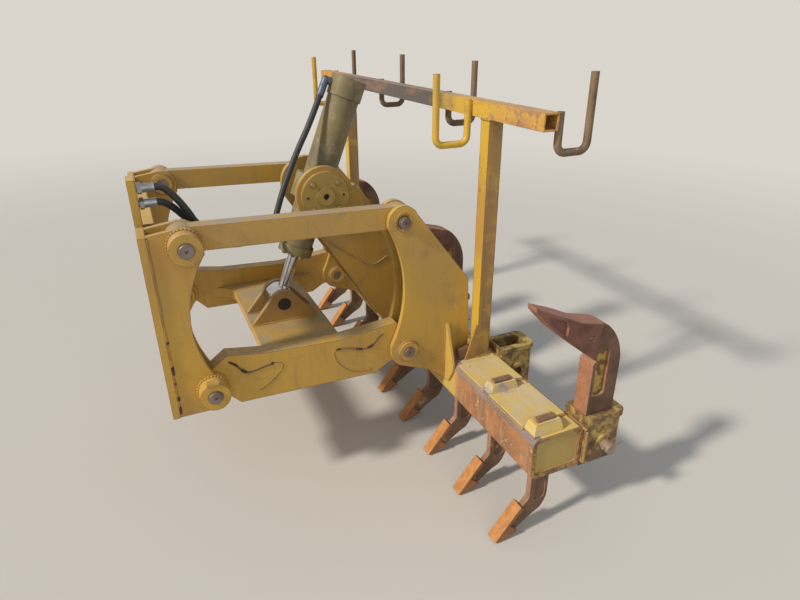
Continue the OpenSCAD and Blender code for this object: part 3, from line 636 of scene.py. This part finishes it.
arm_seams = []
arm_outlines = []
for side in sides:
    for line in (front_seam, rear_seam):
        arm_seams += curved_seam(line, side * arm_side)
    for line in (front_loop, rear_loop):
        arm_outlines += curved_seam(line, side * arm_side)
deck_top = -248.5
deck_seams = []
for side in sides:
    deck_seams += seam([(372, side * 411.5, deck_top), (686, side * 411.5, deck_top)])
    for y in (51, 78):
        deck_seams += seam([(384, side * y, deck_top), (652, side * y, deck_top)])
    for x in (379, 657):
        deck_seams += seam([(x, side * 53, deck_top), (x, side * 76, deck_top)])
seam_dirt = worn_paint(
    "seam_dirt", (0.10, 0.06, 0.03, 1), (0.40, 0.24, 0.07, 1), rust=0.5, chips=0.5, dirt=0.5
)
seam_flakes = flaked(arm_seams, 0.8, 0.31, 0.35)
for name, size, places, finish, slot in (
    ("arm_welds", (0.010, 0.0044), arm_seams, seam_dirt, "yellow_paint"),
    ("arm_seam_rust", (0.012, 0.0056), seam_flakes, flake_rust, "rusty_steel"),
    ("arm_outlines", (0.009, 0.0022), arm_outlines, arm_paint, "yellow_paint"),
    ("deck_welds", common_bead, deck_seams, weld_paint, "yellow_paint"),
):
    fit(copies(bead(*size), places, name), finish, "lower_link")


# The clevis for the cylinder's rod is two ears welded on the deck, painted darker than the deck,
# with near-black pin ends.
clevis_paint = worn_paint(
    "clevis_paint", (0.50, 0.29, 0.055, 1), (0.33, 0.20, 0.07, 1), rust=0.2, chips=0.7, dirt=0.7,
    dust=0.5,
)
dress("rod_clevis", clevis_paint)
pin_dark = metal(
    "pin_dark", (0.045, 0.043, 0.045, 1), (0.025, 0.022, 0.02, 1), metallic=0.3, rough=0.45
)
dress("clevis_pin_ends", pin_dark)
rod_pin = (518, -172)
clevis_ends = copies(pin_end(0.026, 0.006), both_sides((rod_pin,), 68.5), "clevis_pin_faces")
fit(clevis_ends, pin_dark, "lower_link")


# The carriage is two pairs of large profiled plates, flame-cut and welded over the beam. Their cut
# edges are lighter as a painted highlight, and dirt runs down from them.
plate_paint = worn_paint(
    "plate_paint", (0.58, 0.34, 0.05, 1), (0.48, 0.29, 0.07, 1), rust=0.10, chips=0.6, dirt=0.40,
    dust=0.45,
)
dress("carriage_plates", plate_paint)
dress("carriage_pins", pin_steel)
upper_rear = (891.6, 265)
lower_rear = (907.6, -275)
carriage_ends = copies(
    pin_end(0.021), both_sides((upper_rear, lower_rear), 515.5), "carriage_pin_ends"
)
fit(carriage_ends, pin_steel, "carriage")


def washer(outer, inner, thick):
    """A flat ring with softened edges, lying on the origin."""
    ring = cylinder(48, outer, thick)
    top_face(ring)
    bpy.ops.mesh.inset(thickness=outer - inner)
    bpy.ops.transform.translate(value=(0, 0, -thick * 0.9))
    bpy.ops.object.mode_set(mode="OBJECT")
    bpy.ops.object.transform_apply()
    apply_bevel(ring, thick * 0.2, 1)
    bpy.ops.object.shade_smooth_by_angle(angle=math.radians(30))
    return ring


pin_washer = washer(outer=0.036, inner=0.0235, thick=0.006)
washers = copies(pin_washer, both_sides((upper_rear,), 499.5), "carriage_washers")
fit(washers, plate_paint, "carriage")
beam_top = -349
carriage_seams = []
for side in sides:
    for y in (plate_outside, plate_inside):
        carriage_seams += ring_seam(lower_rear[0], side * y, lower_rear[1], 44)
    for y in (385, 412, 474, 501.5):
        carriage_seams += seam([(1113, side * y, beam_top), (1183, side * y, beam_top)])


# The trunnion bracket is two sloping arms from the cylinder's trunnion down to the beam, closed by
# a cover plate behind. A seam follows the fold of each arm's doubled plate.
bracket_paint = worn_paint(
    "bracket_paint", (0.47, 0.275, 0.045, 1), (0.35, 0.21, 0.055, 1), rust=0.10, chips=0.6,
    dirt=0.55, dust=0.45,
)
dress("trunnion_bracket", bracket_paint)
fold = [(685, 126), (720, 96), (757, 66), (825, 16), (880, -24), (912, -32), (940, -22), (975, -4)]
bracket_seams = []
for side in sides:
    bracket_seams += curved_seam(fold, side * 135)
    carriage_seams += seam([(1113, side * 136, beam_top), (1170, side * 136, beam_top)])
bracket_welds = copies(bead(0.011, 0.0038), bracket_seams, "bracket_welds")
fit(bracket_welds, bracket_paint, "carriage")


# Round caps close the trunnions. Each is held by four bolts, and has a dark hole in the middle of
# its raised boss and two small ones beside it; thin dark discs in the holes are painted shade.
cap_paint = worn_paint(
    "cap_paint", (0.42, 0.275, 0.055, 1), (0.32, 0.22, 0.065, 1), rust=0.10, chips=0.7, dirt=0.6,
    dust=0.4,
)
dress("trunnion_caps", cap_paint)
trunnion = Vector((0.709, 0, 0.298))
cap_face = 0.1548


def on_cap(side, turn, radius):
    """A place on a cap's face, this far round from X and this far from its middle."""
    angle = math.radians(turn)
    outward = radius * Vector((math.cos(angle), 0, math.sin(angle)))
    return facing(trunnion + outward + Vector((0, side * cap_face, 0)), (0, side, 0), angle)


bolt_spots = [on_cap(side, turn, 0.072) for side in sides for turn in (45, 135, 225, 315)]
cap_bolt = hex_bolt(across=0.019, height=0.006, washer_thick=0.0015)
fit(copies(cap_bolt, bolt_spots, "cap_bolts"), cap_paint, "carriage")
painted_hole_shade = metal(
    "painted_hole_shade", (0.018, 0.015, 0.013, 1), (0.04, 0.03, 0.022, 1), metallic=0.2, rough=0.6
)
# Thin dark discs in the holes are painted shade.
hole_shade_places = []
for side in sides:
    middle = facing((trunnion.x, side * 0.1492, trunnion.z), (0, side, 0))
    hole_shade_places.append(middle @ Matrix.Scale(2.2, 4))
    for x in (trunnion.x + 0.074, trunnion.x - 0.074):
        hole_shade_places.append(facing((x, side * cap_face, trunnion.z), (0, side, 0)))
hole_shade_discs = copies(pin_end(0.0052, 0.0006), hole_shade_places, "cap_hole_shade_discs")
fit(hole_shade_discs, painted_hole_shade, "carriage")


# The cylinder: a welded barrel with a heavy head, a bolted gland and a chromed rod. Its paint has
# gone olive and chalky, with dried mud on the barrel and dark oil below the gland.
def barrel_paint(name):
    """Faded olive paint under pale dried mud, with dark runs of oil."""
    material, s = new_material(name)
    broad = s.noise(4.0, 4.0, 0.55)
    mud = s.noise(15.0, 6.0, 0.65)
    fine = s.noise(70.0, 5.0, 0.6)
    runs = s.noise(34.0, 4.0, 0.6, s.squeezed((1, 1, 0.16)))
    rounded = s.rounded(0.004)
    colour = broad.clamp(0.36, 0.64).mix((0.235, 0.175, 0.06, 1), (0.165, 0.13, 0.065, 1))
    colour = (mud.clamp(0.52, 0.68) * 0.6).mix(colour, (0.36, 0.29, 0.19, 1))
    colour = (runs.clamp(0.54, 0.72) * 0.5).mix(colour, (0.12, 0.09, 0.05, 1))
    colour = (fine.clamp(0.60, 0.70) * 0.6).mix(colour, (0.15, 0.09, 0.05, 1))
    return finish_material(
        material,
        s,
        Base_Color=colour,
        Roughness=0.48 + 0.3 * mud.clamp(0.45, 0.65),
        Normal=s.bump(mud * 0.5 + fine * 0.4, 0.3, 0.0015, rounded),
    )


faded = barrel_paint("faded_paint")
for name in ("cylinder_barrel", "cylinder_gland", "trunnion_ring"):
    dress(name, faded)
chrome = metal(
    "chrome", (0.60, 0.60, 0.62, 1), (0.34, 0.33, 0.33, 1),
    metallic=1.0, rough=0.10, scale=40.0, scratch=0.1,
)
dress("cylinder_rod", chrome)
tilt = math.radians(22.116)
gland_reach = 0.2895
gland_bolt_circle = 0.057
down_axis = Vector((-math.sin(tilt), 0, -math.cos(tilt)))
across_axis = Vector((math.cos(tilt), 0, -math.sin(tilt)))
side_axis = Vector((0, 1, 0))
gland_face = trunnion + gland_reach * down_axis
gland_places = []
for i in range(8):
    a = math.radians(45 * i + 22)
    outward = gland_bolt_circle * (math.cos(a) * across_axis + math.sin(a) * side_axis)
    gland_places.append(facing(gland_face + outward, down_axis, a))
gland_bolt = hex_bolt(across=0.017, height=0.008, washer=1.2, washer_thick=0.001)
fit(copies(gland_bolt, gland_places, "gland_bolts"), bolt_steel, "barrel")


# The tool beam is a rolled rectangular tube. Its front is rust with paint left in patches, its
# upper edge is rubbed to purple-grey steel, and dust lies on the yellow top.
def beam_paint(name):
    """Yellow on top, rubbed steel on the rounded edge and rust down the front."""
    material, s = new_material(name)
    own = s.own()
    normal = s.normal()
    ahead = 0 - normal.along("X")
    along = s.math("ABSOLUTE", own.along("Y"))
    level = own.along("Z")
    broad = s.noise(3.5, 4.0, 0.55)
    patch = s.noise(11.0, 6.0, 0.65)
    fine = s.noise(55.0, 6.0, 0.68)
    grit = s.noise(200.0, 2.0, 0.5)
    runs = s.noise(40.0, 4.0, 0.6, s.squeezed((1, 1, 0.15)))
    scrape = s.noise(14.0, 5.0, 0.6, s.squeezed((1, 0.18, 1)))
    rounded = s.rounded(0.005)
    edge = rounded.away_from(normal)
    top = patch.clamp(0.40, 0.66).mix((0.66, 0.47, 0.13, 1), (0.60, 0.46, 0.24, 1))
    top = (scrape.clamp(0.52, 0.66) * 0.6).mix(top, (0.62, 0.52, 0.38, 1))
    worn_through = (broad * 0.5 + patch * 0.5 + fine * 0.15).clamp(0.64, 0.70)
    top = worn_through.mix(top, (0.40, 0.36, 0.31, 1))
    top = (patch * 0.5 + fine * 0.6).clamp(0.67, 0.72).mix(top, (0.33, 0.17, 0.08, 1))
    front = patch.clamp(0.36, 0.62).mix((0.45, 0.20, 0.075, 1), (0.27, 0.13, 0.07, 1))
    front = (runs.clamp(0.5, 0.68) * 0.5).mix(front, (0.52, 0.30, 0.16, 1))
    front = (grit.clamp(0.5, 0.7) * 0.3).mix(front, (0.15, 0.07, 0.04, 1))
    paint_left = (0.62 - along).clamp(-0.03, 0.10)
    paint_left = paint_left + (patch * 0.6 + fine * 0.5).clamp(0.63, 0.67) * 0.9
    front = paint_left.clamp(0.2, 0.8).mix(front, (0.56, 0.38, 0.09, 1))
    rubbed = scrape.clamp(0.36, 0.64).mix((0.20, 0.145, 0.125, 1), (0.33, 0.25, 0.23, 1))
    rubbed = (fine.clamp(0.56, 0.64) * 0.5).mix(rubbed, (0.36, 0.18, 0.09, 1))
    back = (patch * 0.6 + fine * 0.5).clamp(0.50, 0.60)
    back = back.mix((0.40, 0.24, 0.08, 1), (0.17, 0.09, 0.05, 1))
    reach = own.along("X")
    rubbed_from, top_from = (-0.380, -0.374), (-0.3515, -0.3495)
    front_to, pads_from = (1.117, 1.121), (-0.3475, -0.3465)
    colour = (level + (patch - 0.5) * 0.012).clamp(*rubbed_from).mix(front, rubbed)
    colour = ahead.clamp(0.02, 0.10).mix(back, colour)
    on_top = level.clamp(*top_from) * (reach + (patch - 0.5) * 0.015).clamp(*front_to)
    colour = (on_top + level.clamp(*pads_from)).clamp(0.0, 0.9).mix(colour, top)
    chipped = (edge * 5 + fine * 1.3).clamp(1.15, 1.30)
    bare = broad.clamp(0.4, 0.6).mix((0.13, 0.07, 0.045, 1), (0.28, 0.15, 0.09, 1))
    colour = (chipped * 0.8).mix(colour, bare)
    return finish_material(
        material,
        s,
        Base_Color=colour,
        Roughness=0.62 + 0.2 * fine,
        Normal=s.bump(fine * 0.6 + grit * 0.15 - chipped * 0.3, 0.45, 0.002, rounded),
    )


dress("tool_beam", beam_paint("rusty_paint"))
cap_yellow = worn_paint(
    "end_cap_paint", (0.50, 0.335, 0.075, 1), (0.44, 0.30, 0.085, 1), rust=0.16, chips=0.7,
    dirt=0.25, dust=0.2,
)
dress("beam_end_caps", cap_yellow)
gusset_paint = worn_paint(
    "gusset_paint", (0.64, 0.42, 0.08, 1), (0.58, 0.36, 0.07, 1), rust=0.15, chips=0.8
)
dress("beam_gussets", gusset_paint)
beam_end = 1104
end_rim = [
    (1114, -368), (1275, -368), (1284, -377), (1284, -496), (1275, -504), (1114, -504),
    (1105, -496), (1105, -377),
]
for side in sides:
    carriage_seams += seam([(1076.5, side * 501.5, -440), (1076.5, side * 501.5, -195)])
    carriage_seams += seam([(x, side * beam_end, z) for x, z in end_rim], closed=True)
pads = [(-1036.8, -820.1), (-780.1, -593.4), (593.4, 780.1), (820.1, 926.8)]
pad_front, pad_back = 1094, 1271
pad_top, front_drop = -347, 9
for start, end in pads:
    outline = [(pad_front, start), (pad_back, start), (pad_back, end), (pad_front, end)]
    for (x0, y0), (x1, y1) in zip(outline, outline[1:] + outline[:1]):
        z = pad_top - (front_drop if x0 == x1 == pad_front else 0)
        carriage_seams += seam([(x0, y0, z), (x1, y1, z)])
carriage_welds = copies(bead(*common_bead), carriage_seams, "carriage_welds")
fit(carriage_welds, weld_paint, "carriage")


# Nine scarifier shanks pass down through the beam. They are forged, brown with rust, and hold
# scraps of paint in the grooves; the cast teeth on their ends are scoured to bright orange rust.
# Shanks and teeth are lighter on their faces ahead, by scour and partly as painted light.
def forged_rust(name, dark, light, bright, trace, traces, scour_and_light):
    """Rusted forging: dark in clouds, bright ahead where soil scours it and as painted light, with
    traces of paint.
    """
    material, s = new_material(name)
    normal = s.normal()
    ahead = 0 - normal.along("X")
    broad = s.noise(6.0, 4.0, 0.55)
    patch = s.noise(19.0, 6.0, 0.65)
    fine = s.noise(75.0, 6.0, 0.7)
    streak = s.noise(45.0, 4.0, 0.6, s.squeezed((1, 1, 0.25)))
    rounded = s.rounded(0.004)
    edge = rounded.away_from(normal)
    colour = (broad * 0.6 + patch * 0.4).clamp(0.40, 0.60).mix(dark, light)
    colour = (fine.clamp(0.48, 0.70) * 0.5).mix(colour, darker(dark, 0.5))
    # Brighter on faces ahead: soil scour, and partly painted light.
    scoured_and_lit = (ahead + (patch - 0.5) * 0.5).clamp(0.35, 0.75)
    scour_and_light_tone = streak.clamp(0.35, 0.65).mix(bright, darker(bright, 0.72))
    colour = (scoured_and_lit * scour_and_light).mix(colour, scour_and_light_tone)
    level = 0.82 - 0.22 * traces
    colour = (patch * 0.8 + fine * 0.35).clamp(level, level + 0.05).mix(colour, trace)
    colour = ((edge * 6 + fine).clamp(0.8, 1.3) * 0.5).mix(colour, bright)
    return finish_material(
        material,
        s,
        Base_Color=colour,
        Roughness=0.66 + 0.25 * fine,
        Normal=s.bump(fine * 0.6 + patch * 0.6, 0.5, 0.002, rounded),
    )


shank_rust = forged_rust(
    "shank_rust", dark=(0.15, 0.08, 0.045, 1), light=(0.23, 0.13, 0.075, 1),
    bright=(0.42, 0.22, 0.13, 1), trace=(0.45, 0.31, 0.13, 1), traces=0.75, scour_and_light=0.8,
)
tooth_rust = forged_rust(
    "tooth_rust", dark=(0.26, 0.11, 0.045, 1), light=(0.36, 0.16, 0.06, 1),
    bright=(0.58, 0.25, 0.075, 1), trace=(0.50, 0.30, 0.18, 1), traces=0.3, scour_and_light=1.0,
)
dress("scarifier_shanks", shank_rust)
dress("scarifier_teeth", tooth_rust)


# Five cast pockets are welded behind the beam. They are mottled like a leopard, with yellow scraps
# on brown rust. A round pin crosses each pocket that holds a shank, with a bar through its end.
def mottled_paint(name):
    """Scraps of yellow on brown rust."""
    material, s = new_material(name)
    broad = s.noise(7.0, 4.0, 0.6)
    spots = s.noise(27.0, 7.0, 0.66)
    grit = s.noise(180.0, 3.0, 0.6)
    up = s.normal().along("Z")
    rounded = s.rounded(0.005)
    level = spots * 0.75 + broad * 0.35 + grit * 0.08 + up.clamp(0.5, 0.9) * 0.03
    stops = [
        (0.44, (0.075, 0.042, 0.024, 1)),
        (0.55, (0.17, 0.098, 0.045, 1)),
        (0.61, (0.25, 0.155, 0.055, 1)),
        (0.65, (0.41, 0.27, 0.065, 1)),
        (0.76, (0.50, 0.36, 0.15, 1)),
    ]
    return finish_material(
        material,
        s,
        Base_Color=s.node("ValToRGB", {"stops": stops}, Fac=level),
        Roughness=0.6 + 0.25 * spots,
        Normal=s.bump(spots * 0.7 + grit * 0.3, 0.5, 0.002, rounded),
    )


dress("ripper_pockets", mottled_paint("mottled_paint"))
worn_pin = metal(
    "worn_pin", (0.36, 0.27, 0.20, 1), (0.20, 0.12, 0.08, 1), metallic=0.2, rough=0.55, scale=50.0
)
dress("pocket_pins", worn_pin)
pocket_pitch = 533.4
pocket_half = 60
pocket_foot, pocket_head = -500, -372
pocket_seams = []
for k in range(-2, 3):
    y = k * pocket_pitch
    left, right = y - pocket_half, y + pocket_half
    for edge in (left, right):
        pocket_seams += seam([(1302, edge, pocket_foot), (1302, edge, pocket_head)])
    pocket_seams += seam([(1297, left, -362), (1297, right, -362)])
pocket_welds = copies(bead(0.013, 0.0065), pocket_seams, "pocket_welds")
fit(pocket_welds, weld_paint, "carriage")


# Three ripper shanks are stored upside down in the pockets. They are heavy flame-cut forgings,
# pink-orange rust on the front, brown on the sides, with yellow paint left in the side hollows;
# the lighter front and top and the darker sides are partly painted light and shade.
def ripper_rust(name, front, side_tone, top_tone, hollow=None):
    """Rust in one tone ahead, one aside and one on top, partly painted light and shade, with paint
    left in the side hollows.
    """
    material, s = new_material(name)
    own = s.own()
    normal = s.normal()
    ahead = 0 - normal.along("X")
    up = normal.along("Z")
    broad = s.noise(8.0, 4.0, 0.6)
    patch = s.noise(22.0, 6.0, 0.65)
    fine = s.noise(80.0, 6.0, 0.7)
    rounded = s.rounded(0.008)
    edge = rounded.away_from(normal)
    colour = (broad * 0.6 + patch * 0.4).clamp(0.42, 0.60).mix(side_tone, darker(side_tone, 0.6))
    if hollow:
        x = own.along("X")
        z = own.along("Z")
        hollow_front, hollow_back = (1.320, 1.326), (1.371, 1.377)
        hollow_foot, hollow_head = (-0.25, -0.24), (-0.075, -0.06)
        inside = x.clamp(*hollow_front) * (1 - x.clamp(*hollow_back))
        inside = inside * z.clamp(*hollow_foot) * (1 - z.clamp(*hollow_head))
        flat = 1 - s.math("ABSOLUTE", ahead).clamp(0.05, 0.3)
        scraps = (patch * 0.8 + fine * 0.3).clamp(0.56, 0.60)
        colour = (inside * flat * (1 - scraps * 0.85)).mix(colour, hollow)
    # Lighter ahead and on top, darker aside: rust tones, and partly painted light and shade.
    pink = patch.clamp(0.38, 0.62).mix(front, darker(front, 0.78))
    colour = (ahead + (patch - 0.5) * 0.4).clamp(0.3, 0.7).mix(colour, pink)
    colour = (up + (patch - 0.5) * 0.4).clamp(0.45, 0.8).mix(colour, top_tone)
    colour = (fine.clamp(0.52, 0.7) * 0.4).mix(colour, (0.10, 0.045, 0.03, 1))
    colour = ((edge * 5 + fine).clamp(0.8, 1.4) * 0.55).mix(colour, (0.45, 0.24, 0.15, 1))
    return finish_material(
        material,
        s,
        Base_Color=colour,
        Roughness=0.62 + 0.25 * fine,
        Normal=s.bump(fine * 0.5 + patch * 0.7, 0.55, 0.0025, rounded),
    )


stored_rust = ripper_rust(
    "ripper_rust", front=(0.42, 0.185, 0.095, 1), side_tone=(0.17, 0.085, 0.05, 1),
    top_tone=(0.36, 0.19, 0.12, 1), hollow=(0.50, 0.33, 0.065, 1),
)
dress("ripper_shanks", stored_rust)
tip_rust = ripper_rust(
    "tip_rust", front=(0.36, 0.15, 0.085, 1), side_tone=(0.19, 0.075, 0.05, 1),
    top_tone=(0.33, 0.15, 0.10, 1),
)
dress("ripper_tips", tip_rust)


# The stake rack is home-made: a square tube on two posts with gusseted feet, welded on the beam.
# Its paint is bright near the post and has rusted pink and brown along the rest of the tube, with a
# painted shadow in grey along its middle.
def rack_paint(name):
    """Brown and pink rust along the tube, with yellow paint left near the left post, and a painted
    shadow in grey along the middle.
    """
    material, s = new_material(name)
    y = s.own().along("Y")
    up = s.normal().along("Z")
    patch = s.noise(10.0, 6.0, 0.62)
    fine = s.noise(60.0, 6.0, 0.66)
    streak = s.noise(24.0, 5.0, 0.6, s.squeezed((1, 0.2, 1)))
    rounded = s.rounded(0.004)
    along = (y + 0.9 + (patch - 0.5) * 0.5) * (1 / 2.35)
    pink, gold = (0.62, 0.34, 0.07, 1), (0.66, 0.40, 0.045, 1)
    # Grey along the middle of the tube is a painted shadow.
    painted_shadow_grey, orange = (0.12, 0.10, 0.085, 1), (0.58, 0.28, 0.06, 1)
    stops = [(0.10, pink), (0.16, gold), (0.24, gold), (0.34, painted_shadow_grey), (0.76, painted_shadow_grey), (0.86, orange)]
    colour = s.node("ValToRGB", {"stops": stops}, Fac=along)
    blotch = s.noise(16.0, 5.0, 0.6)
    stain_and_shade_mask = blotch.clamp(0.50, 0.56) * (1 - along.clamp(0.12, 0.17)) * 0.8
    colour = stain_and_shade_mask.mix(colour, (0.40, 0.21, 0.12, 1))
    colour = (streak.clamp(0.50, 0.66) * 0.55).mix(colour, (0.36, 0.18, 0.09, 1))
    colour = (up.clamp(0.5, 0.9) * fine.clamp(0.36, 0.56) * 0.65).mix(colour, (0.46, 0.30, 0.22, 1))
    colour = (fine.clamp(0.56, 0.66) * 0.6).mix(colour, (0.14, 0.07, 0.04, 1))
    return finish_material(
        material,
        s,
        Base_Color=colour,
        Roughness=0.6 + 0.25 * fine,
        Normal=s.bump(fine, 0.4, 0.0015, rounded),
    )


rack_yellow = worn_paint(
    "rack_yellow", (0.66, 0.41, 0.04, 1), (0.50, 0.28, 0.06, 1), rust=0.40, chips=0.7, dirt=0.6
)
dress("rack_tube", rack_paint("rack_paint"))
# Brown on the posts' faces toward ±Y is painted shade.
post_paint = worn_paint(
    "post_paint", (0.66, 0.41, 0.04, 1), (0.55, 0.30, 0.06, 1), rust=0.40, chips=0.93, dirt=0.5,
    side_shade=0.8,
)
dress("rack_posts", post_paint)
dress("front_hooks", rack_yellow)
hook_rust = forged_rust(
    "hook_rust", dark=(0.13, 0.085, 0.05, 1), light=(0.21, 0.14, 0.08, 1),
    bright=(0.34, 0.21, 0.11, 1), trace=(0.36, 0.25, 0.08, 1), traces=0.5, scour_and_light=0.5,
)
dress("rear_hooks", hook_rust)
posts = (-527.5, 968.5)
post_middle = 1227
foot_z, head_z = -348.5, 611
rack_seams = []


def post_seam(y, half_x, half_y, z):
    """A weld round a post, this far from its middle."""
    front, back = post_middle - half_x, post_middle + half_x
    corners = [(front, y - half_y), (back, y - half_y), (back, y + half_y), (front, y + half_y)]
    return seam([(x, v, z) for x, v in corners], closed=True)


for y in posts:
    rack_seams += post_seam(y, 30, 30, foot_z)
    for gusset_side in (y - 21, y - 11):
        rack_seams += seam([(1146, gusset_side, foot_z), (1196, gusset_side, foot_z)])
    rack_seams += post_seam(y, 29.5, 29, head_z)
rear_hooks = (-847, -127, 593, 1313)
front_hooks = (-425, 1055)
for x, hooks in ((1257, rear_hooks), (1197, front_hooks)):
    for y in hooks:
        for edge in (y - 9, y + 9):
            rack_seams += seam([(x, edge, 622), (x, edge, 660)])
rack_welds = copies(bead(*common_bead), rack_seams, "rack_welds")
fit(rack_welds, weld_paint, "carriage")


# The ground is a plain pale floor at the teeth's points. Far off it fades into the pale backdrop,
# so that no horizon shows, and it keeps the attachment's shadow.
ground_z = -0.794
backdrop = (0.70, 0.665, 0.61, 1)
camera_ray, glossy_ray, transmission_ray = 0, 3, 6
bpy.context.scene.view_settings.view_transform = "Standard"
bpy.ops.object.select_all(action="DESELECT")
bpy.ops.mesh.primitive_plane_add(size=60, location=(0, 0, ground_z))
floor = bpy.context.object
floor.name = "floor"
floor_material, start = new_material("pale_floor")
from_middle = start.node("VectorMath", {"operation": "LENGTH"}, out=1, in_0=start.own())
seen = start.node("LightPath", out=camera_ray) + start.node("LightPath", out=glossy_ray)
ground = start.node("BsdfPrincipled", Base_Color=(0.60, 0.565, 0.51, 1), Roughness=0.95)
glow = start.node("Emission", Color=backdrop, Strength=1.0)
fade_start, fade_end = 3.0, 9.0
far_off = from_middle.clamp(fade_start, fade_end) * seen.clamp(0.0, 1.0)
faded_out = start.node("MixShader", in_0=far_off, in_1=ground, in_2=glow)
output = floor_material.node_tree.nodes.new("ShaderNodeOutputMaterial")
floor_material.node_tree.links.new(faded_out.source, output.inputs["Surface"])
floor.data.materials.append(floor_material)

# The light is a soft sky, a sun ahead of the attachment and high, where it stood in the photograph,
# and a weak wide lamp beside the camera. Rays from the camera see the sky as the pale backdrop.
world = bpy.data.worlds.new("sky")
bpy.context.scene.world = world
world.use_nodes = True
world.node_tree.nodes.clear()
sky = Socket(world.node_tree, None)
seen = sky.node("LightPath", out=camera_ray) + sky.node("LightPath", out=glossy_ray)
seen = seen + sky.node("LightPath", out=transmission_ray)
light = sky.node("Background", Color=(0.80, 0.86, 0.95, 1), Strength=0.45)
pale = sky.node("Background", Color=backdrop, Strength=1.0)
mixed = sky.node("MixShader", in_0=seen.clamp(0.0, 1.0), in_1=light, in_2=pale)
world_output = world.node_tree.nodes.new("ShaderNodeOutputWorld")
world.node_tree.links.new(mixed.source, world_output.inputs["Surface"])


def lamp(name, kind, place, target, power, size, colour):
    """A lamp at its place, aimed at its target."""
    data = bpy.data.lights.new(name, kind)
    data.energy = power
    data.color = colour
    if kind == "SUN":
        data.angle = size
    else:
        data.size = size
    made = bpy.data.objects.new(name, data)
    bpy.context.scene.collection.objects.link(made)
    made.location = place
    made.rotation_euler = (Vector(target) - Vector(place)).to_track_quat("-Z", "Y").to_euler()


lamp(
    "sun", "SUN", place=(-3.0, -0.55, 3.0), target=(0.9, 0, 0), power=2.9,
    size=math.radians(5), colour=(1.0, 0.95, 0.87),
)
lamp(
    "fill_lamp", "AREA", place=(0.2, -4.5, 1.8), target=(0.8, 0, 0), power=22,
    size=3.0, colour=(0.92, 0.96, 1.0),
)
